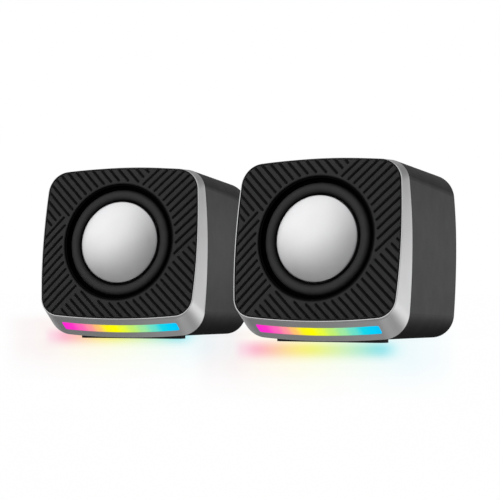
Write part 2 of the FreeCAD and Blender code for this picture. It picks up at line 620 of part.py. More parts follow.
def main_lead():
    z, left, right = LIE_Z, COIL_X - COIL_HALF, COIL_X + COIL_HALF
    y = COIL_Y - COIL_R
    edges = [line((MAIN_X, CABLE_Y0, OUTLET_Z), (MAIN_X, CABLE_Y1, OUTLET_Z)),
             bend([(MAIN_X, CABLE_Y1, OUTLET_Z), (MAIN_X - 2.0, 90.0, OUTLET_Z - 6.5),
                   (MAIN_X - 12.0, 102.0, z + 0.9), (right + 6.0, y, z), (right, y, z)],
                  (0, 1, 0), (-1, 0, 0)),
             line((right, y, z), (left, y, z))]
    radius, side = COIL_R, -1.0
    for turn in range(4):                   # half turns, each tighter by half a strand
        x, next_y = COIL_X + side * COIL_HALF, y - side * 2 * radius
        middle = Vector(x + side * radius, (y + next_y) / 2.0, z)
        edges.append(Part.Arc(Vector(x, y, z), middle, Vector(x, next_y, z)).toShape())
        if turn < 3:
            edges.append(line((x, next_y, z), (COIL_X - side * COIL_HALF, next_y, z)))
        y, radius, side = next_y, radius - STRAND_PITCH / 2.0, -side
    # the inner end climbs over the coil and comes down behind it
    over = z + 2 * MAIN_R + 0.6
    edges.append(line((right, y, z), (right - 3.0, y, z)))
    edges.append(bend([(right - 3.0, y, z), (right - 16.0, y + 2.2, z + 1.8),
                       (SPLIT_X + 1.0, y + 9.0, over), (SPLIT_X, COIL_Y + 8.0, over),
                       (SPLIT_X, COIL_Y + COIL_R + 4.0, over),
                       (SPLIT_X, SPLIT_Y - 4.0, z + 0.4), (SPLIT_X, SPLIT_Y, z)],
                      (-1, 0, 0), (0, 1, 0)))
    return tube(edges, (0, 1, 0), MAIN_R)


def main_cable():
    split = box(SPLIT_X - 4.2, SPLIT_X + 4.2, SPLIT_Y + 0.1, SPLIT_Y + 11.0,
                LIE_Z - 1.7, LIE_Z + 1.7)
    split = split.makeFillet(1.2, edges_along_y(split))
    tails = []
    for side, x in ((-1, USB_X), (1, AUDIO_X)):
        curve = bend([(SPLIT_X + side * 2.2, SPLIT_Y + 11.05, LIE_Z),
                      (SPLIT_X + side * 3.0, SPLIT_Y + 17.0, LIE_Z),
                      (x - side * 0.4, SPLIT_Y + 27.0, LIE_Z + 0.6),
                      (x, PLUG_Y - 4.0, LIE_Z + 1.85), (x, PLUG_Y - 0.1, PLUG_Z)],
                     (0, 1, 0), (0, 1, 0))
        tails.append(tube([curve], (0, 1, 0), TAIL_R))
    return Part.makeCompound([main_lead(), split] + tails)


def cable_tie():
    """two flat loops round the long sides of the coil"""
    reach = COIL_R + MAIN_R + 0.35
    z0, z1 = LIE_Z - MAIN_R - 0.6, LIE_Z + MAIN_R + 0.6
    ties = []
    for y0, y1 in ((COIL_Y - reach, COIL_Y - reach + 8.3),
                   (COIL_Y + reach - 8.6, COIL_Y + reach)):
        outer = box(COIL_X - 4, COIL_X + 4, y0 - 0.5, y1 + 0.5, z0, z1)
        ties.append(outer.cut(box(COIL_X - 6, COIL_X + 6, y0, y1, z0 + 0.5, z1 - 0.5)))
    return Part.makeCompound(ties)


# ---- plugs ----
def usb_plug_body():
    x, y, z = USB_X, PLUG_Y, PLUG_Z
    grip = box(x - 7.9, x + 7.9, y + 6.0, y + 27.0, z - 3.9, z + 3.9)
    grip = grip.makeFillet(1.6, edges_along_y(grip))
    grip = grip.fuse(cone_y(x, z, 2.3, 3.4, y, y + 6.5))
    grooves = [box(x - 20, x + 20, y + 9.5 + 2.2 * i, y + 10.4 + 2.2 * i, z + 3.45, z + 8)
               for i in range(5)]
    return grip.cut(grooves).removeSplitter()


def usb_plug_shell():
    x, z = USB_X, PLUG_Z
    y0, y1 = PLUG_Y + 27.05, PLUG_Y + 38.8
    shell = box(x - 6.0, x + 6.0, y0, y1, z - 2.25, z + 2.25).cut(
        box(x - 5.7, x + 5.7, y0 + 0.3, y1 + 1, z - 1.95, z + 1.95))
    shell = shell.cut([box(x + dx - 1.25, x + dx + 1.25, y0 + 5.0, y0 + 7.5, z - 5, z + 5)
                       for dx in (-3.0, 3.0)])
    tongue = box(x - 5.6, x + 5.6, y0 + 0.35, y1 - 0.3, z - 1.9, z - 0.1)
    return Part.makeCompound([shell, tongue])


def audio_plug_body():
    x, y, z = AUDIO_X, PLUG_Y, PLUG_Z
    grip = cyl_y(x, z, 4.4, y + 6.0, y + 24.0)
    grip = grip.makeFillet(0.8, [e for e in grip.Edges if e.BoundBox.YLength < 0.01])
    grip = grip.fuse(cone_y(x, z, 2.2, 3.2, y, y + 6.6))
    grooves = [sleeve_y(x, z, 8, 4.05, y + 9 + 2.2 * i, y + 9.8 + 2.2 * i) for i in range(4)]
    return grip.cut(grooves).removeSplitter()


def audio_plug_pin():
    x, y, z = AUDIO_X, PLUG_Y + 24.05, PLUG_Z
    return cyl_y(x, z, 2.9, y, y + 1.0).fuse([
        cyl_y(x, z, 1.75, y + 0.5, y + 12.0),
        cone_y(x, z, 1.75, 1.1, y + 12.0, y + 12.7),
        cone_y(x, z, 1.1, 1.65, y + 12.7, y + 13.5),
        cone_y(x, z, 1.65, 0.5, y + 13.5, y + 15.0)]).removeSplitter()


# ---- link cable: one bend behind the cabinets, as x, y, drop below the outlets ----
LINK_STATIONS = ((-91.0, 92.0, 0.8), (-84.0, 102.5, 2.3), (-70.0, 109.5, 4.4),
                 (-54.0, 111.3, 5.2), (-38.0, 108.5, 4.4), (-24.5, 99.5, 2.3),
                 (-17.8, 88.5, 0.8))


def link_cable():
    left_end = LEFT_FROM_RIGHT.multVec(Vector(LINK_LEFT_X, CABLE_Y0, OUTLET_Z))
    left_out = LEFT_FROM_RIGHT.multVec(Vector(LINK_LEFT_X, CABLE_Y1, OUTLET_Z))
    right_out = Vector(LINK_RIGHT_X, CABLE_Y1, OUTLET_Z)
    yaw = math.radians(LEFT_YAW)
    left_dir = (-math.sin(yaw), math.cos(yaw), 0.0)
    path = [left_out] + [Vector(x, y, OUTLET_Z - drop) for x, y, drop in LINK_STATIONS]
    path.append(right_out)
    headings = [Vector(*left_dir)]
    headings += [(after - before).normalize() for before, after in zip(path, path[2:])]
    headings.append(Vector(0, -1, 0))
    edges = [Part.makeLine(left_end, left_out)]
    for i in range(len(path) - 1):
        a, b = path[i], path[i + 1]
        third = (b - a).Length / 3.0
        piece = Part.BezierCurve()
        piece.setPoles([a, a + headings[i] * third, b - headings[i + 1] * third, b])
        edges.append(piece.toShape())
    edges.append(Part.makeLine(right_out, Vector(LINK_RIGHT_X, CABLE_Y0, OUTLET_Z)))
    return tube(edges, left_dir, LINK_R)


# ---- export ----
def put(name, shape, frame=TO_ROW):
    solids = moved(shape, frame).Solids
    biggest = max(solid.Volume for solid in solids)
    solids = [s for s in solids if s.Volume > 1e-4 * biggest]   # drops groove slivers
    result = solids[0] if len(solids) == 1 else Part.makeCompound(solids)
    result.exportStep("parts/" + name + ".step")


def put_both(name, shape):
    put("right_" + name, shape)
    put("left_" + name, shape, LEFT)


put("right_body_shell", body_shell(STANDOFFS, RIGHT_HOLES))
put("left_body_shell", body_shell((), LEFT_HOLES), LEFT)
put("right_driver_wires", driver_wires(RIGHT_WIRE_ENDS))
put("left_driver_wires", driver_wires(LEFT_WIRE_ENDS), LEFT)
for make in (bezel, light_bar, led_board, leds, front_panel, driver_basket, dome, spider,
             driver_terminal, driver_screws, casing_screws, feet):
    put_both(make.__name__, make())
for part_name, profile in TURNED_PARTS.items():
    put_both(part_name, turned(profile))

put("right_grommets", Part.makeCompound([grommet(MAIN_X, MAIN_R),
                                         grommet(LINK_RIGHT_X, LINK_R)]))
put("left_grommet", grommet(LINK_LEFT_X, LINK_R), LEFT)
for make in (amp_board, amp_heatsink, capacitors, volume_pot, volume_shaft, volume_knob,
             light_switch, light_button, main_cable, usb_plug_body, usb_plug_shell,
             audio_plug_body, audio_plug_pin, cable_tie, link_cable):
    put(make.__name__, make())
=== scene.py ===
"""Pair of small desktop loudspeakers joined by a lead, on a pale studio floor.

Each cabinet is modelled in millimetres in its own frame: origin at the driver centre, x to the
right seen from the front, y to the back, z up. The ribbed panel and the driver lie in a leaning
face frame: u across, v up the face, n out of it towards the front.
"""

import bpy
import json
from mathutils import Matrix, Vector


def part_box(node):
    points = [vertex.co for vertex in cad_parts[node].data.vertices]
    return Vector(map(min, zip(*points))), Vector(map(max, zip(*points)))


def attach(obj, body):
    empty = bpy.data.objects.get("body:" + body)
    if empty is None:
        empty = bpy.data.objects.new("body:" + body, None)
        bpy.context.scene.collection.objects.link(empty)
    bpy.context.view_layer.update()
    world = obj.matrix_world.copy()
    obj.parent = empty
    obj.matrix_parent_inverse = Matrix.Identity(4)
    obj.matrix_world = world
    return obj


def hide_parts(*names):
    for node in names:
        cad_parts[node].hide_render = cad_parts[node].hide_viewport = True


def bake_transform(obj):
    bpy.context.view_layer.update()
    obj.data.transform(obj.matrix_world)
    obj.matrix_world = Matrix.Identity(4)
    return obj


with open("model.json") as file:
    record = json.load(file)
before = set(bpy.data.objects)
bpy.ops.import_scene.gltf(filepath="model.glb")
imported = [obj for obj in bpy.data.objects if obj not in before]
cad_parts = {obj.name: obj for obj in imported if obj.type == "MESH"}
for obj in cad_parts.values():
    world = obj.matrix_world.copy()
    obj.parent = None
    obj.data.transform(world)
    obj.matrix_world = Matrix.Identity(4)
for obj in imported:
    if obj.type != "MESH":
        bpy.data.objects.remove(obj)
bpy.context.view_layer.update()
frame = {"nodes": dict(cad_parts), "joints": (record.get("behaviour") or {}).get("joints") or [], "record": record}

import json
import math
from collections import namedtuple

import bmesh
import bpy
import numpy as np
from mathutils import Matrix, Vector

scene = bpy.context.scene
MM = 0.001
SIDES = ("right", "left")

# ---------------------------------------------------------------------------
# where the two cabinets stand
# ---------------------------------------------------------------------------
FOOT_TO_DRIVER = (0.0, -15.0, 41.1)
DRIVER_HEIGHT = FOOT_TO_DRIVER[2]

mounts = {mount["name"]: mount["pos_m"] for mount in frame["record"]["mounts"]}
joints = {joint["name"]: joint for joint in frame["joints"]}
lean = math.asin(joints["right_cone_travel"]["axis"][2])
left_axis = joints["left_cone_travel"]["axis"]
yaw = math.atan2(left_axis[0], -left_axis[1])
LEAN_SIN, LEAN_COS = math.sin(lean), math.cos(lean)

to_driver = Matrix.Translation([length * MM for length in FOOT_TO_DRIVER])
PLACE = {
    "right": Matrix.Translation(mounts["right_base"]) @ to_driver,
    "left": Matrix.Translation(mounts["left_base"]) @ Matrix.Rotation(yaw, 4, "Z") @ to_driver,
}
BODY = {"right": "right_cabinet", "left": "left_cabinet"}
CONE = {"right": "right_diaphragm", "left": "left_diaphragm"}

# ---------------------------------------------------------------------------
# camera: set out from the right cabinet's driver
# ---------------------------------------------------------------------------
CAMERA_AT = np.array((240.9, -529.9, -20.0)) + FOOT_TO_DRIVER
CAMERA_HEADING, CAMERA_PITCH = math.radians(-27.014), math.radians(1.518)
CAMERA_LENS = 106.5888
SENSOR_WIDTH = 36.0

VIEW_FORWARD = np.array([math.sin(CAMERA_HEADING) * math.cos(CAMERA_PITCH),
                         math.cos(CAMERA_HEADING) * math.cos(CAMERA_PITCH),
                         math.sin(CAMERA_PITCH)])
VIEW_RIGHT = np.cross(VIEW_FORWARD, [0.0, 0.0, 1.0])
VIEW_RIGHT /= np.linalg.norm(VIEW_RIGHT)
VIEW_UP = np.cross(VIEW_RIGHT, VIEW_FORWARD)

# ---------------------------------------------------------------------------
# cabinet outlines: bulged sides and ends with rounded corners
# top and bottom are heights from the widest level, which is moved up by shift
# ---------------------------------------------------------------------------
Outline = namedtuple("Outline", "half_width top side_bulge top_bulge top_corner "
                                "bottom bottom_bulge bottom_corner shift")
PANEL = Outline(35.47, 34.31, 1.90, 2.10, 9.41, 30.26, 2.26, 7.90, -2.35)
BEZEL_RIM = Outline(35.97, 34.47, 1.90, 2.10, 9.85, 30.76, 2.26, 8.40, -2.35)
SEAM = Outline(37.55, 33.00, 2.29, 2.95, 8.70, 39.73, 2.30, 11.30, -0.90)
SEAM_Y = 7.0
# steps along the side, corner and end arc of each quarter outline
SIDE_STEPS, CORNER_STEPS, END_STEPS = 24, 30, 44

OPENING_R = 24.7            # driver opening in the panel
STEP_R = 24.2               # narrower step inside that opening
PANEL_BACK = -0.93

LIGHT_HALF_WIDTH = 26.4     # lit strip in the chin


def face(points):
    """Turn (u, v, n) face points into cabinet millimetres."""
    points = np.asarray(points, float)
    u, v, n = points[..., 0], points[..., 1], points[..., 2]
    return np.stack([u, v * LEAN_SIN - n * LEAN_COS, v * LEAN_COS + n * LEAN_SIN], -1)


def smoothstep(x):
    x = np.clip(x, 0, 1)
    return x * x * (3 - 2 * x)


def outline_halves(shape, grow=0.0):
    """Upper and lower half: half width, height, side radius, end radius, corner radius."""
    def half(height, end_bulge, corner):
        def radius(half_chord, bulge):
            return (half_chord ** 2 + bulge ** 2) / (2 * bulge)
        return (shape.half_width + grow, height + grow,
                radius(height, shape.side_bulge) + grow,
                radius(shape.half_width, end_bulge) + grow, corner + grow)
    return (half(shape.top, shape.top_bulge, shape.top_corner),
            half(shape.bottom, shape.bottom_bulge, shape.bottom_corner))


def quadrant(half_width, height, side_radius, end_radius, corner_radius):
    """Centres of the side, end and corner arcs, and the angles where the corner meets them."""
    side = np.array([half_width - side_radius, 0.0])
    end = np.array([0.0, height - end_radius])
    to_side, to_end = side_radius - corner_radius, end_radius - corner_radius
    gap = np.linalg.norm(end - side)
    along = (end - side) / gap
    across = np.array([-along[1], along[0]])
    x = (to_side * to_side - to_end * to_end + gap * gap) / (2 * gap)
    offset = math.sqrt(max(to_side * to_side - x * x, 0.0))
    corner = max([side + along * x + across * offset, side + along * x - across * offset],
                 key=lambda point: point[0] + point[1])
    side_angle = math.atan2(corner[1] - side[1], corner[0] - side[0])
    end_angle = math.atan2(corner[1] - end[1], corner[0] - end[0])
    return side, end, corner, side_angle, end_angle


def quarter_points(half):
    _, _, side_radius, end_radius, corner_radius = half
    side, end, corner, side_angle, end_angle = quadrant(*half)

    def on_arc(centre, radius, start, stop, steps):
        angles = np.linspace(start, stop, steps + 1)
        return np.stack([centre[0] + radius * np.cos(angles),
                         centre[1] + radius * np.sin(angles)], 1)
    return np.vstack([
        on_arc(side, side_radius, 0, side_angle, SIDE_STEPS),
        on_arc(corner, corner_radius, side_angle, end_angle, CORNER_STEPS)[1:],
        on_arc(end, end_radius, end_angle, math.pi / 2, END_STEPS)[1:]])


def outline(shape, grow=0.0):
    """Closed loop of flat points; every outline has the same count."""
    upper, lower = (quarter_points(half) for half in outline_halves(shape, grow))
    loop = np.vstack([upper, (upper * [-1, 1])[::-1][1:],
                      (lower * [-1, -1])[1:], (lower * [1, -1])[::-1][1:-1]])
    return loop + [0, shape.shift]


def on_face(shape, n, grow=0.0):
    """Outline lying in the leaning face at height n."""
    loop = outline(shape, grow)
    return face(np.column_stack([loop, np.full(len(loop), n)]))


def upright(shape, y, grow=0.0):
    """Outline standing upright at depth y."""
    loop = outline(shape, grow)
    return np.column_stack([loop[:, 0], np.full(len(loop), y), loop[:, 1]])


def outline_distance(shape, u, v):
    """Signed distance to the outline, negative inside."""
    upper, lower = outline_halves(shape)
    x, y = np.abs(u), v - shape.shift
    distance = np.empty_like(x)
    for half, chosen in ((upper, y >= 0), (lower, y < 0)):
        _, _, side_radius, end_radius, corner_radius = half
        side, end, corner, side_angle, end_angle = quadrant(*half)
        px, py = x[chosen], np.abs(y[chosen])
        from_side = np.hypot(px - side[0], py - side[1]) - side_radius
        from_end = np.hypot(px - end[0], py - end[1]) - end_radius
        from_corner = np.hypot(px - corner[0], py - corner[1]) - corner_radius
        angle = np.arctan2(py - corner[1], px - corner[0])
        in_corner = (angle > side_angle) & (angle < end_angle)
        distance[chosen] = np.where(in_corner, from_corner, np.maximum(from_side, from_end))
    return distance


# ---------------------------------------------------------------------------
# mesh helpers
# ---------------------------------------------------------------------------
def link_object(name, mesh, side=None):
    obj = bpy.data.objects.new(name, mesh)
    scene.collection.objects.link(obj)
    if side is not None:
        obj.matrix_world = PLACE[side]
    return obj


def mark_sharp(bm, degrees):
    limit = math.radians(degrees)
    for edge in bm.edges:
        if len(edge.link_faces) == 2 and edge.calc_face_angle(0.0) > limit:
            edge.smooth = False


def mesh_object(name, points, faces, side=None, smooth=True, sharp_degrees=None):
    mesh = bpy.data.meshes.new(name)
    mesh.from_pydata((np.asarray(points, float) * MM).tolist(), [], faces)
    mesh.validate()
    bm = bmesh.new()
    bm.from_mesh(mesh)
    bmesh.ops.recalc_face_normals(bm, faces=bm.faces)
    if sharp_degrees is not None:
        mark_sharp(bm, sharp_degrees)
    for polygon in bm.faces:
        polygon.smooth = smooth
    bm.to_mesh(mesh)
    bm.free()
    return link_object(name, mesh, side)


def copy_node(name, node):
    obj = link_object(name, frame["nodes"][node].data.copy())
    for polygon in obj.data.polygons:
        polygon.use_smooth = True
    return obj


def add_shade(mesh, values):
    """Store a per-point painted shade: 1 keeps the material's colour, 0 is black."""
    attribute = mesh.attributes.new("shade", "FLOAT", "POINT")
    attribute.data.foreach_set("value", np.asarray(values).astype(np.float32))


def grid_faces(columns, rows):
    """Quads of a grid whose points are stored row by row."""
    return [(a, a + 1, a + columns + 1, a + columns)
            for row in range(rows - 1)
            for a in range(row * columns, (row + 1) * columns - 1)]


def loft(loops, closed_ring=False, cap=False):
    """Join closed loops of equal length with quads."""
    count, size = len(loops), len(loops[0])
    faces = []
    for i in range(count if closed_ring else count - 1):
        a, b = i * size, ((i + 1) % count) * size
        for j in range(size):
            following = (j + 1) % size
            faces.append((a + j, a + following, b + following, b + j))
    if cap:
        faces.append(tuple(range(size))[::-1])
        faces.append(tuple((count - 1) * size + j for j in range(size)))
    return np.vstack(loops), faces


def rounded_rectangle(x0, x1, z0, z1, radius, points, inset=0.0):
    """Loop with the given number of points per corner; inset shrinks the corner radius."""
    r = radius
    loop = []
    for x, z, start in ((x1 - r, z1 - r, 0), (x0 + r, z1 - r, 90),
                        (x0 + r, z0 + r, 180), (x1 - r, z0 + r, 270)):
        for angle in np.radians(np.linspace(start, start + 90, points)):
            loop.append((x + (r - inset) * math.cos(angle), z + (r - inset) * math.sin(angle)))
    return np.array(loop)


LATHE_SEGMENTS = 220


def lathe(name, profile, side, closed, sharp_degrees):
    """Turn (radius, n) points about the driver axis.

    A closed profile makes a ring; an open one starts and ends on the axis.
    """
    angles = np.linspace(0, 2 * math.pi, LATHE_SEGMENTS, endpoint=False)
    points, faces, rings = [], [], []
    for radius, n in profile:
        if radius < 1e-9:
            rings.append([len(points)])
            points.append((0.0, 0.0, n))
        else:
            rings.append(list(range(len(points), len(points) + LATHE_SEGMENTS)))
            points += [(radius * math.cos(a), radius * math.sin(a), n) for a in angles]
    pairs = list(zip(rings[:-1], rings[1:]))
    if closed:
        pairs.append((rings[-1], rings[0]))
    for a, b in pairs:
        for k in range(LATHE_SEGMENTS):
            following = (k + 1) % LATHE_SEGMENTS
            if len(a) == 1:
                faces.append((a[0], b[k], b[following]))
            elif len(b) == 1:
                faces.append((a[k], b[0], a[following]))
            else:
                faces.append((a[k], b[k], b[following], a[following]))
    return mesh_object(name, face(np.array(points)), faces, side, sharp_degrees=sharp_degrees)


def arc(centre, radius, start, stop, points):
    angles = np.radians(np.linspace(start, stop, points))
    return [(centre[0] + radius * math.cos(a), centre[1] + radius * math.sin(a))
            for a in angles]


def aim(obj, direction):
    """Turn a light or camera so that it looks along a direction."""
    obj.rotation_mode = "QUATERNION"
    obj.rotation_quaternion = direction.to_track_quat("-Z", "Y")


# ---------------------------------------------------------------------------
# shader node helpers: texture sizes and bump depths are in millimetres
# ---------------------------------------------------------------------------
MATERIALS = {}
WHITE = (1, 1, 1, 1)
BLACK = (0, 0, 0, 1)
NEAR_BLACK = (0.0004, 0.0004, 0.0004, 1)


def srgb(*channels):
    """8-bit sRGB channels as a linear RGBA colour."""
    def linear(channel):
        share = channel / 255.0
        return share / 12.92 if share <= 0.04045 else ((share + 0.055) / 1.055) ** 2.4
    return tuple(linear(channel) for channel in channels) + (1.0,)


class Nodes:
    """Adds nodes to one shader tree."""

    def __init__(self, tree, output_kind):
        self.tree = tree
        tree.nodes.clear()
        self.output = self.node(output_kind)
        self.position = self.node("TexCoord").outputs

    def node(self, kind, props=None, **inputs):
        node = self.tree.nodes.new("ShaderNode" + kind)
        for key, value in (props or {}).items():
            setattr(node, key, value)
        for key, value in inputs.items():
            self.put(node.inputs[key.replace("_", " ")], value)
        return node

    def put(self, socket, value):
        if isinstance(value, bpy.types.NodeSocket):
            self.tree.links.new(value, socket)
        else:
            socket.default_value = value

    def finish(self, shader):
        self.put(self.output.inputs[0], shader.outputs[0])

    def math(self, operation, a, b=0.0, c=0.0):
        """Maths node; an operand of None leaves its socket alone."""
        node = self.node("Math", {"operation": operation})
        for socket, value in zip(node.inputs, (a, b, c)):
            if value is not None:
                self.put(socket, value)
        return node.outputs[0]

    def separate(self, vector):
        return self.node("SeparateXYZ", Vector=vector).outputs

    def mix_shaders(self, share, first, second):
        node = self.node("MixShader")
        self.put(node.inputs[0], share)
        self.put(node.inputs[1], first.outputs[0])
        self.put(node.inputs[2], second.outputs[0])
        return node


class Material(Nodes):
    """A named material, with a principled shader unless told otherwise."""

    def __init__(self, name, principled=True):
        self.data = bpy.data.materials.new(name)
        self.data.use_nodes = True
        super().__init__(self.data.node_tree, "OutputMaterial")
        if principled:
            self.bsdf = self.node("BsdfPrincipled")
            self.finish(self.bsdf)
        MATERIALS[name] = self.data

    def set(self, **inputs):
        for key, value in inputs.items():
            self.put(self.bsdf.inputs[key.replace("_", " ")], value)

    def coords(self, scale=(1, 1, 1), rotation=(0, 0, 0)):
        return self.node("Mapping", Vector=self.position["Object"],
                         Scale=scale, Rotation=rotation).outputs[0]

    def noise(self, size, detail=3.0, vector=None):
        if vector is None:
            vector = self.coords()
        return self.node("TexNoise", Vector=vector, Scale=1.0 / (size * MM),
                         Detail=detail, Roughness=0.55).outputs["Fac"]

    def wave(self, direction, vector, scale, **inputs):
        return self.node("TexWave", {"bands_direction": direction}, Vector=vector,
                         Scale=scale, **inputs).outputs["Fac"]

    def ranged(self, value, to=(0.0, 1.0), over=(0.3, 0.7)):
        return self.node("MapRange", Value=value, From_Min=over[0], From_Max=over[1],
                         To_Min=to[0], To_Max=to[1]).outputs[0]

    def mix(self, share, first, second, blend="MIX"):
        node = self.node("Mix", {"data_type": "RGBA", "blend_type": blend})
        self.put(node.inputs[0], share)
        self.put(node.inputs[6], first)
        self.put(node.inputs[7], second)
        return node.outputs[2]

    def two_tone(self, share, colour, vary):
        """Blend between a darker and a lighter version of a colour."""
        colour = np.array(colour[:3])
        dark = (*(colour * (1 - vary)), 1.0)
        light = (*np.minimum(colour * (1 + vary), 1.0), 1.0)
        return self.mix(self.ranged(share), dark, light)

    def ramp(self, value, stops, interpolation):
        """Colour ramp from (position, colour) stops."""
        node = self.node("ValToRGB")
        self.put(node.inputs[0], value)
        ramp = node.color_ramp
        ramp.interpolation = interpolation
        while len(ramp.elements) > 1:
            ramp.elements.remove(ramp.elements[-1])
        for k, (position, colour) in enumerate(stops):
            element = ramp.elements[0] if k == 0 else ramp.elements.new(position)
            element.position = position
            element.color = colour
        return node.outputs[0]

    def bump(self, height, depth, strength=1.0, under=None):
        node = self.node("Bump", Strength=strength, Distance=depth * MM, Height=height)
        if under is not None:
            self.put(node.inputs["Normal"], under)
        return node.outputs[0]

    def rounded_edge(self, radius):
        return self.node("Bevel", {"samples": 6}, Radius=radius * MM).outputs[0]

    def darken(self, keep):
        """Scale colour and specular down to the share that is kept."""
        specular = self.bsdf.inputs["Specular IOR Level"].default_value
        base = self.bsdf.inputs["Base Color"].links[0].from_socket
        self.set(Base_Color=self.mix(keep, NEAR_BLACK, base),
                 Specular_IOR_Level=self.math("MULTIPLY", keep, specular))


def surface(name, colour, rough, metallic=0.0, vary=0.12, rough_vary=0.06, grain=0.25,
            grain_depth=0.012, blotch=9.0, edge=None, specular=0.5, coat=0.0):
    """Moulded or painted surface: broad blotches of tone, fine grain, optional soft edges."""
    m = Material(name)
    base = m.two_tone(m.noise(blotch, detail=4.0), colour, vary)
    fine = m.noise(grain, detail=2.0)
    under = m.rounded_edge(edge) if edge else None
    m.set(Base_Color=base, Metallic=metallic,
          Roughness=m.ranged(m.noise(blotch * 0.35), to=(rough - rough_vary, rough + rough_vary)),
          Normal=m.bump(fine, grain_depth, under=under),
          Specular_IOR_Level=specular, Coat_Weight=coat)
    return m


def shaded(m):
    """Darken the colour by the mesh's stored painted shade."""
    m.darken(m.node("Attribute", {"attribute_name": "shade"}).outputs["Fac"])


def metal(name, colour, rough, stretch, depth=0.004):
    """Bare metal with streaks drawn out along the axis whose stretch is small."""
    m = Material(name)
    streak = m.noise(0.35, vector=m.coords(scale=stretch))
    m.set(Base_Color=m.two_tone(streak, colour, vary=0.06), Metallic=1.0,
          Roughness=m.ranged(m.noise(4.0), to=(rough - 0.05, rough + 0.07)),
          Normal=m.bump(streak, depth, under=m.rounded_edge(0.12)))


def woven(name, dark, light, pitch, depth):
    """Cloth: two crossed sets of threads."""
    m = Material(name)
    vector = m.coords()
    threads = [m.wave(axis, vector, 0.5 / (pitch * MM), Distortion=0.6, Detail=1.0)
               for axis in "XY"]
    height = m.math("MAXIMUM", *threads)
    worn = m.math("MULTIPLY", height, m.ranged(m.noise(2.0), to=(0.7, 1.0)))
    m.set(Base_Color=m.mix(worn, dark, light), Roughness=0.9, Sheen_Weight=0.2,
          Normal=m.bump(height, depth), Specular_IOR_Level=0.2)


# ---------------------------------------------------------------------------
# materials
# ---------------------------------------------------------------------------
def dark_shell():
    m = surface("dark_shell", (0.0495, 0.0495, 0.0507), rough=0.6, vary=0.03, rough_vary=0.03,
                grain=0.4, grain_depth=0.006, blotch=22.0, edge=0.35, specular=0.22)
    # darker where it turns away from the horizontal light, most of all underneath
    normal_x, _, normal_z = m.separate(m.node("NewGeometry").outputs["Normal"])
    turned = m.math("DIVIDE", normal_z,
                    m.ranged(normal_z, to=(0.27, 0.195), over=(-0.1, 0.1)))
    keep = m.math("DIVIDE", 1.0, m.math("MULTIPLY_ADD", turned, turned, 1.0))
    least = m.ranged(normal_z, to=(0.06, 0.68), over=(-0.3, 1.0))
    m.darken(m.math("MAXIMUM", keep, least))
    # neither cabinet dims the other: in the other's silver rim and towards its side this
    # wall stands in for the soft boxes behind it
    path = m.node("LightPath").outputs
    incoming_z = m.separate(m.node("NewGeometry").outputs["Incoming"])[2]
    sideways = m.ranged(m.math("ABSOLUTE", normal_x), over=(0.4, 0.7))
    beside = m.math("MULTIPLY", path["Is Diffuse Ray"], sideways)
    mirrored = m.math("MULTIPLY", path["Is Glossy Ray"],
                      m.ranged(incoming_z, to=(0.40, 1.02), over=(-0.3, 0.3)))
    beside_strength = m.math("MULTIPLY", beside, 1.45)
    # painted light: for these rays the shell glows white though it is no lamp
    clear = m.node("Emission", Color=WHITE,
                   Strength=m.math("MAXIMUM", mirrored, beside_strength))
    m.data.cycles.emission_sampling = "NONE"
    share = m.math("MAXIMUM", path["Is Glossy Ray"], beside)
    m.finish(m.mix_shaders(share, m.bsdf, clear))


def moulded_surfaces():
    # the ribbed panel and the roll surround take painted shade stored on their meshes
    shaded(surface("black_panel", (0.0236, 0.0236, 0.0243), rough=0.62, vary=0.05,
                   grain=0.18, grain_depth=0.006, specular=0.2))
    shaded(surface("rubber_surround", (0.029, 0.029, 0.0296), rough=0.7, vary=0.05,
                   grain=0.22, grain_depth=0.008, specular=0.2))
    surface("rubber_feet", srgb(26, 26, 27), rough=0.8, vary=0.1, grain=0.3,
            grain_depth=0.02, edge=0.3, specular=0.3)
    surface("foam_gasket", srgb(14, 14, 14), rough=0.95, vary=0.25, grain=0.4,
            grain_depth=0.08, specular=0.1)
    surface("driver_frame", srgb(20, 20, 20), rough=0.6, vary=0.1, edge=0.2, specular=0.3)
    surface("paper_cone", srgb(44, 42, 40), rough=0.9, vary=0.2, grain=0.5,
            grain_depth=0.05, specular=0.15)
    surface("grommet_rubber", srgb(28, 28, 29), rough=0.65, vary=0.08, edge=0.15,
            specular=0.35)
    surface("cable_jacket", srgb(27, 27, 28), rough=0.5, vary=0.08, grain=0.3,
            grain_depth=0.01, specular=0.4)
    surface("plug_grip", srgb(31, 31, 32), rough=0.55, vary=0.06, grain_depth=0.02,
            edge=0.3, specular=0.4)
    surface("knob_plastic", srgb(36, 36, 38), rough=0.42, vary=0.05, grain=0.3,
            grain_depth=0.008, edge=0.2, specular=0.45)
    surface("button_plastic", srgb(88, 88, 92), rough=0.3, vary=0.04, edge=0.2, coat=0.2)
    surface("control_body", srgb(52, 52, 54), rough=0.5, vary=0.1, edge=0.15)
    surface("black_screws", srgb(38, 38, 40), rough=0.38, metallic=0.7, vary=0.15, edge=0.12)
    surface("ferrite", srgb(52, 52, 54), rough=0.7, vary=0.15, grain=0.4,
            grain_depth=0.02, edge=0.2)
    surface("wire_insulation", srgb(150, 24, 22), rough=0.45, vary=0.08)
    surface("capacitor_can", srgb(28, 34, 66), rough=0.35, vary=0.08, edge=0.3, coat=0.3)
    surface("led_package", srgb(232, 226, 190), rough=0.3, vary=0.05, coat=0.5, edge=0.15)
    surface("terminal_board", srgb(120, 84, 46), rough=0.6, vary=0.2, grain=0.5,
            grain_depth=0.03)


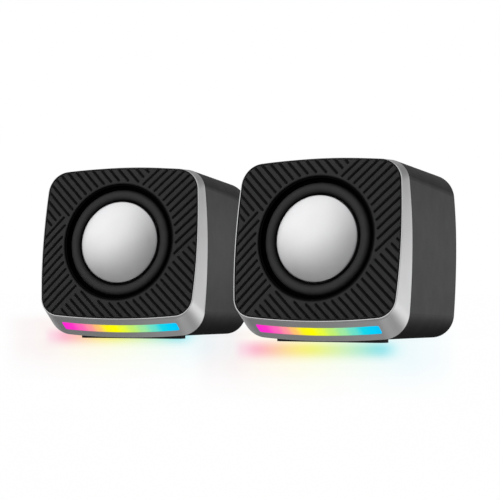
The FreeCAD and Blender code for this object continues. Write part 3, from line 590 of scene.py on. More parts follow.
def bare_metals():
    metal("magnet_plates", srgb(190, 192, 196), rough=0.35, stretch=(1, 1, 0.2))
    metal("zinc_screws", srgb(196, 196, 190), rough=0.3, stretch=(1, 1, 1))
    metal("control_shaft", srgb(190, 190, 192), rough=0.28, stretch=(1, 0.05, 1))
    metal("heatsink", srgb(186, 188, 192), rough=0.4, stretch=(1, 1, 0.08), depth=0.01)
    metal("plug_metal", srgb(205, 206, 210), rough=0.22, stretch=(1, 0.1, 1), depth=0.003)
    metal("plug_pin", srgb(222, 186, 110), rough=0.2, stretch=(1, 0.1, 1), depth=0.002)


def silver_bezel():
    """Satin silver paint with a fine metallic flake."""
    m = Material("silver_bezel")
    flake = m.node("TexVoronoi", Vector=m.coords(), Scale=1.0 / (0.16 * MM)).outputs["Color"]
    flake_tone = m.node("SeparateColor", Color=flake).outputs[0]
    m.set(Base_Color=m.mix(m.ranged(m.noise(14.0)), srgb(214, 214, 215), srgb(220, 220, 221)),
          Metallic=1.0, Roughness=m.ranged(flake_tone, to=(0.29, 0.33), over=(0.0, 1.0)),
          Normal=m.bump(m.noise(0.16, detail=2.0), depth=0.0007, strength=0.5))


def silver_dome():
    """Satin metal diaphragm: faint turned rings and fine grain."""
    ring_pitch = 0.22
    m = Material("silver_dome")
    x, y, _ = m.separate(m.coords(rotation=(-(math.pi / 2 - lean), 0, 0)))
    radius = m.math("SQRT", m.math("ADD", m.math("MULTIPLY", x, x), m.math("MULTIPLY", y, y)))
    rings = m.math("SINE", m.math("MULTIPLY", radius, 2 * math.pi / (ring_pitch * MM)))
    height = m.math("ADD", m.math("MULTIPLY", rings, 0.25), m.noise(0.14, detail=2.0))
    m.set(Base_Color=m.mix(m.ranged(m.noise(6.0)), srgb(225, 225, 226), srgb(229, 229, 230)),
          Metallic=1.0, Roughness=m.ranged(m.noise(3.0), to=(0.33, 0.37)),
          Normal=m.bump(height, depth=0.0018, strength=0.7))


# share of the strip's width from its left end, sRGB colour
STRIP_COLOURS = [
    (0.0, (255, 36, 214)), (0.07, (255, 52, 200)), (0.16, (255, 104, 186)),
    (0.24, (255, 150, 160)), (0.31, (255, 196, 112)), (0.39, (255, 244, 22)),
    (0.46, (254, 255, 0)), (0.53, (232, 250, 60)), (0.61, (196, 240, 112)),
    (0.70, (160, 232, 160)), (0.79, (108, 224, 200)), (0.87, (20, 214, 232)),
    (0.94, (0, 208, 250)), (1.0, (0, 200, 255)),
]


def colour_stops(table):
    return [(position, srgb(*colour)) for position, colour in table]


def light_strip():
    """Lit strip: the colours run along the cabinet's own x."""
    m = Material("light_strip")
    x = m.separate(m.coords())[0]
    share = m.ranged(x, over=(-LIGHT_HALF_WIDTH * MM, LIGHT_HALF_WIDTH * MM))
    colour = m.ramp(share, colour_stops(STRIP_COLOURS), "EASE")
    m.set(Base_Color=m.mix(0.98, colour, BLACK),
          Roughness=m.ranged(m.noise(0.5), to=(0.5, 0.6)), Emission_Color=colour,
          Emission_Strength=m.ranged(m.noise(1.2), to=(0.97, 1.03)),
          Specular_IOR_Level=0.03,
          Normal=m.bump(m.noise(0.3, detail=2.0), depth=0.004, strength=0.5))


def copper_coil():
    m = Material("copper_coil")
    band = m.wave("Y", m.coords(), 1.0 / (0.9 * MM), Distortion=0.4)
    m.set(Base_Color=m.mix(band, srgb(150, 74, 34), srgb(208, 124, 70)), Metallic=0.85,
          Roughness=0.35, Normal=m.bump(band, depth=0.04))


def circuit_board():
    """Solder mask with traces and pads."""
    m = Material("circuit_board")
    traces = m.node("TexBrick", Vector=m.coords(rotation=(math.pi / 2, 0, 0)),
                    Scale=1.0 / (6.0 * MM), Mortar_Size=0.06,
                    Mortar_Smooth=0.2).outputs["Fac"]
    spots = m.node("TexVoronoi", {"feature": "F1"}, Vector=m.coords(),
                   Scale=1.0 / (3.2 * MM), Randomness=0.35).outputs["Distance"]
    pad = m.ranged(spots, to=(1.0, 0.0), over=(0.12, 0.16))
    mask = m.mix(traces, srgb(14, 88, 44), srgb(34, 128, 66))
    m.set(Base_Color=m.mix(pad, mask, srgb(196, 198, 200)),
          Metallic=m.math("MULTIPLY", pad, 0.9), Roughness=0.35, Coat_Weight=0.3,
          Normal=m.bump(m.math("ADD", traces, pad), depth=0.03, under=m.rounded_edge(0.1)))


dark_shell()
moulded_surfaces()
bare_metals()
silver_bezel()
silver_dome()
light_strip()
copper_coil()
woven("spider_cloth", srgb(120, 84, 40), srgb(196, 150, 88), pitch=0.4, depth=0.08)
woven("tie_fabric", srgb(16, 16, 17), srgb(52, 52, 55), pitch=0.55, depth=0.12)
circuit_board()


def dress(obj, slot_name, body=None, replaces=()):
    obj.data.materials.clear()
    obj.data.materials.append(MATERIALS[slot_name])
    if body:
        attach(obj, body)
    if replaces:
        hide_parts(*replaces)


def dress_cad_nodes():
    """Carried-over CAD nodes take their slot's material, on the mesh and on the object."""
    for subpart in frame["record"]["subparts"]:
        node = frame["nodes"][subpart["node"]]
        material = MATERIALS[subpart["material_slot"]]
        if not node.data.materials:
            node.data.materials.append(material)
        for i in range(len(node.data.materials)):
            node.data.materials[i] = material
        for slot in node.material_slots:
            slot.material = material


dress_cad_nodes()

# ---------------------------------------------------------------------------
# ribbed front panel: a height field whose grid lines follow the groove edges
# the grid runs diagonally, along s = u + v and w = v - u
# ---------------------------------------------------------------------------
ROOT2 = math.sqrt(2.0)
CROWN, CROWN_POWER = 1.25, 1.7              # rise from the outline to the opening
EDGE_ROUND, EDGE_DROP = 0.85, 0.75          # rounding along the outline: width and fall
GROOVE_REACH = 0.55 + 0.13                  # groove centre to the top of its wall
GROOVE_WALL, GROOVE_DEPTH = 0.42, 0.62
GROOVE_MARGIN, GROOVE_FADE = 0.30, 0.55     # grooves die out towards the outline
GROOVE_LINES = (0.0, 0.20, 0.36, 0.52, 0.68)    # grid lines either side of a groove centre
BORDER_R = 26.5                             # grooves stop at this circle round the driver
S_FIRST, S_PITCH = 33.45, 4.145
FAR = 90.0                                  # beyond the panel's edge
GRID_REACH, GRID_STEP, GRID_CLOSEST = 66.0, 0.42, 0.09
OPENING_TRIM = 0.22                         # top surface stops this far outside the opening
OPENING_SEARCH_R = 26.0                     # cut edges inside this radius are the opening's


def border_reach(centre):
    """Distance along a diagonal line from its middle to the border circle."""
    return math.sqrt(max(2 * BORDER_R ** 2 - centre * centre, 0.0))


def groove_runs():
    """(diagonal held constant, its value, start and end along the other diagonal)."""
    runs = []
    for i in range(-2, 15):                 # upper left
        s = S_FIRST - S_PITCH * i
        runs.append(("s", s, max(39.9 if s < -14.0 else 18.0, border_reach(s)), FAR))
    for i in range(12):                     # upper right and right
        w = 14.4 - 4.15 * i
        runs.append(("w", w, border_reach(w), FAR))
    for i in range(10):                     # left and lower left
        w = 36.9 - 4.144 * i
        runs.append(("w", w, -FAR, -15.5 if w > 34.0 else -border_reach(w)))
    for i in range(22):                     # bottom and lower right
        s = S_FIRST - S_PITCH * i
        runs.append(("s", s, -FAR, min(-34.8 if s > 0 else -4.3, -border_reach(s))))
    return runs


def grid_lines(centres):
    """Line positions on both sides of every groove, with the gaps filled evenly."""
    marks = {-GRID_REACH, GRID_REACH}
    for centre in sorted(set(round(c, 4) for c in centres)):
        for offset in np.array(GROOVE_LINES) * ROOT2:
            for sign in (-1, 1):
                mark = centre + sign * offset
                if -GRID_REACH < mark < GRID_REACH:
                    marks.add(round(mark, 4))
    marks = sorted(marks)
    kept = [marks[0]]
    for mark in marks[1:]:
        if mark - kept[-1] > GRID_CLOSEST:
            kept.append(mark)
    lines = []
    for a, b in zip(kept[:-1], kept[1:]):
        steps = max(1, int(math.ceil((b - a) / GRID_STEP)))
        lines += list(np.linspace(a, b, steps, endpoint=False))
    return np.array(lines + [kept[-1]])


def panel_relief(u, v, runs):
    """Height and painted shade of the panel's top surface."""
    from_edge = np.maximum(-outline_distance(PANEL, u, v), 0.0)
    radius = np.hypot(u, v)
    from_opening = np.maximum(radius - OPENING_R, 0.0)
    share = from_edge / np.maximum(from_edge + from_opening, 1e-6)
    height = CROWN * (1 - (1 - share) ** CROWN_POWER)
    s, w = u + v, v - u
    groove = np.zeros_like(u)
    for held, centre, start, end in runs:
        across, along = (s, w) if held == "s" else (w, s)
        beyond = np.maximum(np.maximum(start - along, along - end), 0.0) / ROOT2
        distance = np.hypot((across - centre) / ROOT2, beyond)
        groove = np.maximum(groove, smoothstep((GROOVE_REACH - distance) / GROOVE_WALL))
    groove = groove * smoothstep((from_edge - GROOVE_MARGIN) / GROOVE_FADE)
    edge = np.clip((EDGE_ROUND - from_edge) / EDGE_ROUND, 0, 1)
    height = height - EDGE_DROP * (1 - np.sqrt(np.maximum(1 - edge ** 2, 0.0)))
    # painted shade: darker in the grooves, along the outline and next to the opening, where shade falls
    shade = (np.clip(1.0 - 0.80 * groove ** 0.8, 0, 1)
             * np.clip(0.25 + from_edge / 0.9, 0, 1)
             * np.clip(0.12 + (radius - (OPENING_R + 0.2)) / 0.8, 0, 1))
    return height - GROOVE_DEPTH * groove, shade


def trim_grid(u, v, field):
    """Keep the part of a grid where field is positive, cutting cells along its zero line."""
    inside = field > 0
    points, faces, cut_edges, index = [], [], [], {}

    def corner(a):
        if a not in index:
            index[a] = len(points)
            points.append((u[a], v[a]))
        return index[a]

    def crossing(a, b):
        key = (min(a, b), max(a, b))
        if key not in index:
            share = field[a] / (field[a] - field[b])
            point = np.array([u[a], v[a]]) * (1 - share) + np.array([u[b], v[b]]) * share
            index[key] = len(points)
            points.append(tuple(point))
        return index[key]

    touched = inside[:-1, :-1] | inside[1:, :-1] | inside[1:, 1:] | inside[:-1, 1:]
    for i, j in zip(*np.nonzero(touched)):
        corners = [(i, j), (i + 1, j), (i + 1, j + 1), (i, j + 1)]
        if all(inside[a] for a in corners):
            faces.append(tuple(corner(a) for a in corners))
            continue
        polygon, is_cut = [], []
        for a, b in zip(corners, corners[1:] + corners[:1]):
            if inside[a]:
                polygon.append(corner(a))
                is_cut.append(False)
            if inside[a] != inside[b]:
                polygon.append(crossing(a, b))
                is_cut.append(True)
        if len(polygon) >= 3:
            faces.append(tuple(polygon))
            for k in range(len(polygon)):
                following = (k + 1) % len(polygon)
                if is_cut[k] and is_cut[following]:
                    cut_edges.append((polygon[k], polygon[following]))
    return np.array(points), faces, cut_edges


def wall_stations(radius, n):
    """(radius, n, painted shade) down the wall below a cut point of the top surface."""
    if radius < OPENING_SEARCH_R:
        # painted shade: the opening's wall and step go near black, as shade falls in the recess
        return [(OPENING_R + 0.10, n - 0.03, 0.1), (OPENING_R + 0.03, n - 0.09, 0.05),
                (OPENING_R, n - 0.19, 0.02), (OPENING_R, 0.78, 0.02),
                (OPENING_R - 0.04, 0.74, 0.06), (STEP_R + 0.16, 0.74, 0.12),
                (STEP_R + 0.04, 0.70, 0.06), (STEP_R, 0.60, 0.02), (STEP_R, PANEL_BACK, 0.0)]
    return [(radius, min(n - 0.05, -0.8), 0.1), (radius, PANEL_BACK, 0.1)]


def panel_shell():
    """Top surface and walls; also the edges left open at the back, and the painted shades."""
    runs = groove_runs()
    s, w = np.meshgrid(*(grid_lines([run[1] for run in runs if run[0] == held])
                         for held in "sw"), indexing="ij")
    u, v = (s - w) / 2, (s + w) / 2
    field = np.minimum(-outline_distance(PANEL, u, v),
                       np.hypot(u, v) - (OPENING_R + OPENING_TRIM))
    flat, faces, cut_edges = trim_grid(u, v, field)
    heights, shades = panel_relief(flat[:, 0], flat[:, 1], runs)
    points = [(*point, height) for point, height in zip(flat, heights)]
    shades = list(shades)
    columns = {}

    def column(top):
        if top not in columns:
            u, v, n = points[top]
            radius = math.hypot(u, v)
            columns[top] = [top]
            for wall_radius, wall_n, shade in wall_stations(radius, n):
                columns[top].append(len(points))
                points.append((u / radius * wall_radius, v / radius * wall_radius, wall_n))
                shades.append(shade)
        return columns[top]

    opening_rim, outer_rim = [], []
    for a, b in cut_edges:
        first, second = column(a), column(b)
        for k in range(len(first) - 1):
            faces.append((first[k], first[k + 1], second[k + 1], second[k]))
        in_opening = math.hypot(*flat[a]) < OPENING_SEARCH_R
        rim = opening_rim if in_opening else outer_rim
        rim.append((first[-1], second[-1]))
    return face(np.array(points)), faces, opening_rim + outer_rim, shades


def make_panels():
    points, faces, back_rims, shades = panel_shell()
    mesh = bpy.data.meshes.new("ribbed_panel")
    mesh.from_pydata((points * MM).tolist(), [], faces)
    add_shade(mesh, shades)
    bm = bmesh.new()
    bm.from_mesh(mesh)
    bm.verts.ensure_lookup_table()
    edges = [bm.edges.get((bm.verts[a], bm.verts[b])) for a, b in back_rims]
    bmesh.ops.triangle_fill(bm, edges=[edge for edge in edges if edge], use_beauty=True)
    bmesh.ops.remove_doubles(bm, verts=bm.verts, dist=1e-7)
    bmesh.ops.dissolve_degenerate(bm, dist=1e-8, edges=bm.edges)
    bmesh.ops.recalc_face_normals(bm, faces=bm.faces)
    for polygon in bm.faces:
        polygon.smooth = True
    mark_sharp(bm, 50)
    bm.to_mesh(mesh)
    bm.free()
    for side in SIDES:
        panel = link_object(side + "_ribbed_panel", mesh if side == "right" else mesh.copy(),
                            side)
        dress(panel, "black_panel", BODY[side], [side + "_front_panel"])


make_panels()

# ---------------------------------------------------------------------------
# silver bezel with a soft rim, and the lit strip in its chin
# ---------------------------------------------------------------------------
FRONT_LOOP = on_face(BEZEL_RIM, 0.0)
SEAM_LOOP = upright(SEAM, SEAM_Y)
CHIN_LENGTH = 14.02
CHIN_SLOPE = math.atan2(7.84, 11.62)
CHIN_NORMAL = np.array([0.0, -math.sin(CHIN_SLOPE), -math.cos(CHIN_SLOPE)])
# the strip's front and back edges along the chin
STRIP_START, STRIP_END = CHIN_LENGTH * 0.318, CHIN_LENGTH * 0.697

# (share from the panel's outline to the bezel's outer rim, n)
RIM_SECTION = [(0, PANEL_BACK), (0, -0.20), (0.03, -0.05), (0.12, 0.03),
               (0.35, 0.06), (0.65, 0.05), (0.86, -0.01), (0.97, -0.12)]
# (distance in front of the seam, growth of the seam outline)
SEAM_SECTION = [(0.10, -0.03), (0.02, -0.10), (0.0, -0.22), (0.0, -1.8)]
# (n, growth of the panel outline) of the inner lip behind the panel
LIP_SECTION = [(-2.4, -4.0), (-0.95, -4.0), (-0.95, -2.0)]
BEZEL_WALL = 1.8
OUTER_STEPS, INNER_STEPS = 14, 6

WINDOW_GAP, WINDOW_CORNER, WINDOW_STEP = 0.10, 0.9, 1.2
CUTTER_LIFTS = (-5.0, 2.0)


def chin(widths, along, lift):
    """Points on the outer chin, at a distance along it from the rim, lifted outwards."""
    low = FRONT_LOOP[:, 2] < -15
    order = np.argsort(FRONT_LOOP[low][:, 0])
    front, seam = FRONT_LOOP[low][order], SEAM_LOOP[low][order]
    points = []
    for x, share in zip(*np.broadcast_arrays(widths, along / CHIN_LENGTH)):
        line = front * (1 - share) + seam * share
        points.append((x, np.interp(x, line[:, 0], line[:, 1]),
                       np.interp(x, line[:, 0], line[:, 2])))
    return np.array(points) + CHIN_NORMAL * lift


def bezel_loops():
    inner = on_face(PANEL, 0.0, grow=0.05)
    outward = face((0.0, 0.0, 1.0))

    def rim(share, n):
        return inner * (1 - share) + FRONT_LOOP * share + outward * n

    def between(start, end, share):
        return start * (1 - share) + end * share

    loops = [rim(share, n) for share, n in RIM_SECTION]
    rim_end, seam_start = rim(1.0, -0.24), upright(SEAM, SEAM_Y - 0.22)
    loops += [between(rim_end, seam_start, k / OUTER_STEPS) for k in range(OUTER_STEPS + 1)]
    loops += [upright(SEAM, SEAM_Y - ahead, grow) for ahead, grow in SEAM_SECTION]
    inner_back = upright(SEAM, SEAM_Y, -BEZEL_WALL)
    inner_front = on_face(BEZEL_RIM, -2.4, -BEZEL_WALL)
    loops += [between(inner_back, inner_front, k / INNER_STEPS)
              for k in range(1, INNER_STEPS + 1)]
    loops += [on_face(PANEL, n, grow) for n, grow in LIP_SECTION]
    return loops


def window_cutter():
    """Block through the chin, a little larger than the lit strip."""
    half_width = LIGHT_HALF_WIDTH + WINDOW_GAP
    corners = rounded_rectangle(-half_width, half_width, STRIP_START - WINDOW_GAP,
                                STRIP_END + WINDOW_GAP, WINDOW_CORNER, points=8)
    dense = []
    for a, b in zip(corners, np.roll(corners, -1, 0)):
        steps = max(1, int(np.hypot(*(b - a)) / WINDOW_STEP))
        dense += [a + (b - a) * k / steps for k in range(steps)]
    dense = np.array(dense)
    return loft([chin(dense[:, 0], dense[:, 1], lift) for lift in CUTTER_LIFTS], cap=True)


def make_bezels():
    points, faces = loft(bezel_loops(), closed_ring=True)
    bezels = {side: mesh_object(side + "_silver_bezel", points, faces, side, sharp_degrees=38)
              for side in SIDES}
    points, faces = window_cutter()
    for side, bezel in bezels.items():
        cutter = mesh_object("window_cutter_" + side, points, faces, side, smooth=False)
        bpy.context.view_layer.update()
        window = bezel.modifiers.new("window", "BOOLEAN")
        window.operation, window.solver, window.object = "DIFFERENCE", "EXACT", cutter
        depsgraph = bpy.context.evaluated_depsgraph_get()
        mesh = bpy.data.meshes.new_from_object(bezel.evaluated_get(depsgraph))
        bezel.modifiers.clear()
        bezel.data = mesh
        bpy.data.objects.remove(cutter)
        dress(bezel, "silver_bezel", BODY[side], [side + "_bezel"])


def make_strips():
    half_depth = (STRIP_END - STRIP_START) / 2
    middle = (STRIP_START + STRIP_END) / 2
    corner = 0.8
    edge_round, edge_drop = 0.35, 0.30
    top_lift, bottom_lift = 0.12, -1.5
    rows, columns = 22, 150
    crowding = 2.6                          # packs the columns towards both ends
    spread = np.tanh(np.linspace(-crowding, crowding, columns))
    top, bottom = [], []
    for y in half_depth * np.sin(np.linspace(-math.pi / 2, math.pi / 2, rows)):
        into_corner = max(abs(y) - (half_depth - corner), 0.0)
        cut = corner - math.sqrt(max(corner * corner - into_corner ** 2, 0.0))
        reach = LIGHT_HALF_WIDTH - cut
        xs = reach * spread / math.tanh(crowding)
        from_edge = np.minimum(np.minimum(reach - np.abs(xs), half_depth - abs(y)), edge_round)
        curve = np.sqrt(np.maximum(1 - (1 - from_edge / edge_round) ** 2, 0))
        lift = top_lift - edge_drop * (1 - curve)
        top.append(chin(xs, middle + y, lift[:, None]))
        bottom.append(chin(xs, middle + y, bottom_lift))
    under = rows * columns
    faces = []
    for a, b, c, d in grid_faces(columns, rows):
        faces += [(a, b, c, d), (under + a, under + d, under + c, under + b)]
    last_row = (rows - 1) * columns
    for j in range(columns - 1):
        a = last_row + j
        faces += [(j, under + j, under + j + 1, j + 1), (a, a + 1, under + a + 1, under + a)]
    for i in range(rows - 1):
        a = i * columns
        faces.append((a, a + columns, under + a + columns, under + a))
        a += columns - 1
        faces.append((a, under + a, under + a + columns, a + columns))
    for side in SIDES:
        strip = mesh_object(side + "_light_strip", np.vstack(top + bottom), faces, side,
                            sharp_degrees=60)
        dress(strip, "light_strip", BODY[side], [side + "_light_bar"])


make_bezels()
make_strips()

# ---------------------------------------------------------------------------
# driver: dome, half-roll surround and cloth spider
# ---------------------------------------------------------------------------
DOME_R, DOME_RISE, DOME_WALL = 17.5, 4.3, 0.5
DOME_BACK = -1.95
ROLL_CENTRE_R, ROLL_R, ROLL_WALL = 20.45, 2.25, 0.45
LANDING = -1.6                              # n of the flats either side of the roll
ROLL_START, ROLL_END = 18.2, 22.78          # radii between which the roll is shaded


def radial_blend(obj):
    """Bake the ring's placement into its mesh."""
    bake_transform(obj)


def make_dome(side):
    sphere_r = (DOME_R ** 2 + DOME_RISE ** 2) / (2 * DOME_RISE)
    centre = DOME_RISE - sphere_r

    def cap(sphere, radii):
        return [(r, centre + math.sqrt(sphere * sphere - r * r)) for r in radii]

    profile = cap(sphere_r, np.linspace(0, 16.9, 40))
    shoulder = profile[-1][1]
    profile += [(17.14, shoulder - 0.13), (17.33, shoulder - 0.29), (17.45, shoulder - 0.50),
                (DOME_R, shoulder - 0.75), (DOME_R, DOME_BACK),
                (DOME_R - DOME_WALL, DOME_BACK), (DOME_R - DOME_WALL, -0.45)]
    profile += cap(sphere_r - DOME_WALL, np.linspace(16.8, 0, 24))
    dome = lathe(side + "_metal_dome", profile, side, closed=False, sharp_degrees=55)
    dress(dome, "silver_dome", CONE[side], [side + "_dome"])


def surround_shade(radius, n):
    """Painted highlight and shade: full on the crest of the roll, falling off down its sides, dark in the gaps
    beside it.
    """
    if ROLL_START < radius < ROLL_END and n > -1.9:
        crest = max(1.0 - ((radius - ROLL_CENTRE_R) / ROLL_R) ** 2, 0.0)
        return 0.14 + 0.90 * crest ** 0.85
    return 0.12 if radius < ROLL_START else 0.02


def make_surround(side):
    """Half-roll between two flat landings, with a soft lip where each flat meets the roll."""
    profile = [(17.62, LANDING), (17.95, LANDING), (18.1, LANDING + 0.03)]
    profile += arc((ROLL_CENTRE_R, LANDING + 0.02), ROLL_R, 172, 8, points=44)
    profile += [(22.82, LANDING + 0.03), (23.0, LANDING), (25.55, LANDING),
                (25.6, LANDING - 0.06), (25.6, -1.96), (25.52, -2.02), (22.3, -2.02)]
    profile += arc((ROLL_CENTRE_R, LANDING), ROLL_R - ROLL_WALL, 2, 178, points=30)
    profile += [(18.62, -2.04), (17.66, -2.04), (17.62, -2.0)]
    surround = lathe(side + "_roll_surround", profile, side, closed=True, sharp_degrees=50)
    shades = [surround_shade(radius, n) for radius, n in profile]
    add_shade(surround.data, np.repeat(shades, LATHE_SEGMENTS))
    dress(surround, "rubber_surround", None, [side + "_surround"])
    radial_blend(surround)


def make_spider(side):
    """Spider, copied from its own solid."""
    spider = copy_node(side + "_cloth_spider", side + "_spider")
    dress(spider, "spider_cloth", None, [side + "_spider"])
    radial_blend(spider)


for side in SIDES:
    make_dome(side)
    make_surround(side)
    make_spider(side)


# ---------------------------------------------------------------------------
# leads: the link lead runs between the two cabinets; straps hold the coil
# ---------------------------------------------------------------------------
STRAP_DEPTH, STRAP_THICKNESS, STRAP_CORNER = 14.8, 0.48, 1.5
TONGUE_HALF_WIDTH = 3.7
TONGUE_STATIONS = 14
TONGUE_TIP = [0.93, 0.78, 0.45]             # width shares of the last stations


def make_link_lead():
    lead = copy_node("link_lead", "link_cable")
    dress(lead, "cable_jacket", None, ["link_cable"])
    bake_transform(lead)


def strap_band(name, centre_x, y0, y1, z0, z1):
    # (x from the middle, inset) across the outer surface; the inner one mirrors it
    outer = [(-4.0, 0.14), (-3.88, 0.03), (-3.6, 0.0)]
    outer += [(x, 0.0) for x in np.linspace(-3.0, 3.0, 9)]
    outer += [(3.6, 0.0), (3.88, 0.03), (4.0, 0.14)]
    section = outer + [(x, STRAP_THICKNESS - inset) for x, inset in outer[::-1]]
    loops = []
    for x, inset in section:
        loop = rounded_rectangle(y0, y1, z0, z1, STRAP_CORNER, points=10, inset=inset)
        loops.append(np.column_stack([np.full(len(loop), centre_x + x), loop]))
    points, faces = loft(loops, closed_ring=True)
    return mesh_object(name, points, faces, sharp_degrees=60)


def strap_tongue(name, centre_x, y0, y1, z1):
    """Free end of the strap, a raised tongue over the top that narrows to its tip."""
    half, base = TONGUE_HALF_WIDTH, z1 - 0.02
    edge = [(half, 0.02), (half - 0.15, 0.30), (half - 0.5, 0.38)]
    section = [(-x, z) for x, z in edge]
    section += [(x, 0.40) for x in np.linspace(-half + 1.2, half - 1.2, 7)]
    section += edge[::-1] + [(half, 0.0), (-half, 0.0)]
    ys = np.linspace(y0 + 2.2, y1 - 1.6, TONGUE_STATIONS)
    shares = [1.0] * (TONGUE_STATIONS - len(TONGUE_TIP)) + TONGUE_TIP
    loops = [np.array([(centre_x + x * share, y, base + z) for x, z in section])
             for y, share in zip(ys, shares)]
    points, faces = loft(loops, cap=True)
    return mesh_object(name, points, faces, sharp_degrees=50)


def make_straps():
    low, high = (np.array(corner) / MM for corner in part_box("cable_tie"))
    centre_x = (low[0] + high[0]) / 2
    spans = ((low[1], low[1] + STRAP_DEPTH), (high[1] - STRAP_DEPTH, high[1]))
    for k, (y0, y1) in enumerate(spans):
        band = strap_band("strap_%d" % (k + 1), centre_x, y0, y1, low[2], high[2])
        dress(band, "tie_fabric", "right_cabinet", ["cable_tie"] if k == 0 else [])
        tongue = strap_tongue("strap_end_%d" % (k + 1), centre_x, y0, y1, high[2])
        dress(tongue, "tie_fabric", "right_cabinet")


make_link_lead()
make_straps()

# ---------------------------------------------------------------------------
# stage: pale floor, and the strips' coloured light lying on it
# The glow is laid out as seen from the camera and shows from low in front; the pool is laid
# out from the cabinet and takes over from above and from the sides.
# ---------------------------------------------------------------------------
# Each glow's extent as tangents of the view angle from the camera axis: to the right (start,
# end) and upwards (start, end), then its height over the floor in millimetres
GLOW_VIEW = {
    "right": ((-0.0472845, 0.1486085), (-0.04728452, -0.10402594), 0.02),
    "left": ((-0.1722199, 0.0059291), (-0.03980466, -0.09140644), 0.12),
}
GLOW_CELLS = (60, 90)
# the glow fades out between these view steepnesses and turns away from the camera heading
GLOW_STEEPNESS = (0.11, 0.19)
GLOW_TURN = (math.radians(11.5), math.radians(15.5))

# share across the glow, sRGB colour the floor takes in the bright band
BAND_COLOURS = [
    (0.217241, (253, 224, 234)), (0.258621, (251, 181, 207)), (0.303448, (255, 194, 189)),
    (0.351724, (252, 215, 162)), (0.4, (253, 234, 139)), (0.451724, (244, 245, 117)),
    (0.503448, (231, 244, 154)), (0.568966, (210, 242, 192)), (0.637931, (173, 234, 219)),
    (0.696552, (134, 226, 237)), (0.734483, (203, 244, 248)), (0.765517, (236, 251, 254)),
]
# the same for the faint wash round it
WASH_COLOURS = [
    (0.189655, (251, 243, 243)), (0.258621, (254, 248, 241)), (0.351724, (255, 251, 234)),
    (0.448276, (253, 254, 234)), (0.568966, (247, 254, 243)), (0.696552, (242, 252, 252)),
    (0.810345, (240, 251, 254)),
]
# share across or down the glow, strength
BAND_ACROSS = [(0.179310, 0.0), (0.220690, 1.0), (0.758621, 1.0), (0.8, 0.0)]
BAND_DOWN = [
    (0.203571, 0.0), (0.227381, 0.10), (0.251190, 0.355), (0.275, 0.583), (0.298810, 0.807),
    (0.322619, 0.95), (0.346429, 1.0), (0.370238, 0.958), (0.394048, 0.861),
    (0.417857, 0.695), (0.441667, 0.49), (0.465476, 0.28), (0.501190, 0.10), (0.536905, 0.0),
]
WASH_ACROSS = [(0.0206897, 0.0), (0.120690, 0.7), (0.206897, 1.0),
               (0.793103, 1.0), (0.868966, 0.6), (0.972414, 0.0)]
WASH_DOWN = [(0.0238095, 0.0), (0.190476, 1.0), (0.5, 1.0), (0.571429, 0.85),
             (0.642857, 0.62), (0.714286, 0.38), (0.809524, 0.2), (0.976190, 0.0)]

POOL_HALF_WIDTH, POOL_BACK, POOL_DEPTH = 46.0, 6.0, 70.0
POOL_LIFT = {"right": 0.25, "left": 0.35}
POOL_CELLS = (48, 32)
# share across the pool, sRGB colour
POOL_COLOURS = [
    (0.0, (255, 225, 240)), (0.25, (255, 170, 205)), (0.36, (255, 214, 166)),
    (0.48, (250, 250, 120)), (0.60, (214, 244, 190)), (0.75, (130, 228, 240)),
    (1.0, (215, 247, 252)),
]
# share across or down the pool, strength
POOL_ACROSS = [(0.0, 0.0), (0.14, 0.35), (0.24, 1.0), (0.76, 1.0), (0.86, 0.35), (1.0, 0.0)]
POOL_DOWN = [(0.0, 0.0), (0.12, 0.75), (0.25, 0.80), (0.50, 0.42), (0.75, 0.12), (1.0, 0.0)]


def make_floor():
    bm = bmesh.new()
    bmesh.ops.create_grid(bm, x_segments=8, y_segments=8, size=6.0)
    mesh = bpy.data.meshes.new("floor")
    bm.to_mesh(mesh)
    bm.free()
    floor = link_object("floor", mesh)
    floor.location = (0, 0, -0.00005)
    m = Material("floor_paper", principled=False)
    tone = m.mix(m.ranged(m.noise(60.0)), (0.997, 0.997, 0.997, 1), WHITE)
    white = m.node("Emission", Color=tone, Strength=0.985)
    diffuse = m.node("BsdfDiffuse", Color=(0.02, 0.02, 0.02, 1))
    both = m.node("AddShader")
    m.put(both.inputs[0], white.outputs[0])
    m.put(both.inputs[1], diffuse.outputs[0])
    m.finish(both)
    floor.visible_glossy = False
    floor.visible_diffuse = False
    mesh.materials.append(m.data)


def light_sheet(name, cells, point_at):
    """Flat grid; point_at gives a point from its shares across and down."""
    columns, rows = cells
    shares = [(i / columns, j / rows) for j in range(rows + 1) for i in range(columns + 1)]
    points = np.array([point_at(across, down) for across, down in shares])
    mesh = bpy.data.meshes.new(name)
    mesh.from_pydata((points * MM).tolist(), [], grid_faces(columns + 1, rows + 1))
    spread = mesh.uv_layers.new(name="spread")
    for loop in mesh.loops:
        spread.data[loop.index].uv = shares[loop.vertex_index]
    return link_object(name, mesh)


def sheet_material(name):
    """Material with its shares across and down the sheet."""
    m = Material(name, principled=False)
    across, down, _ = m.separate(m.node("UVMap", {"uv_map": "spread"}).outputs[0])
    return m, across, down


def finish_sheet(sheet, side, m, tint):
    """Tint what lies under the sheet; it is light on the stage, not part of the object."""
    m.finish(m.node("BsdfTransparent", Color=tint))
    sheet.data.materials.append(m.data)
    sheet.visible_shadow = False
    sheet.visible_diffuse = False
    sheet.visible_glossy = False
    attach(sheet, BODY[side])


def spread_strength(m, across, across_levels, down, down_levels):
    def level(share, levels):
        return m.ramp(share, [(at, (value, value, value, 1.0)) for at, value in levels], "EASE")
    return m.math("MULTIPLY", level(across, across_levels), level(down, down_levels))


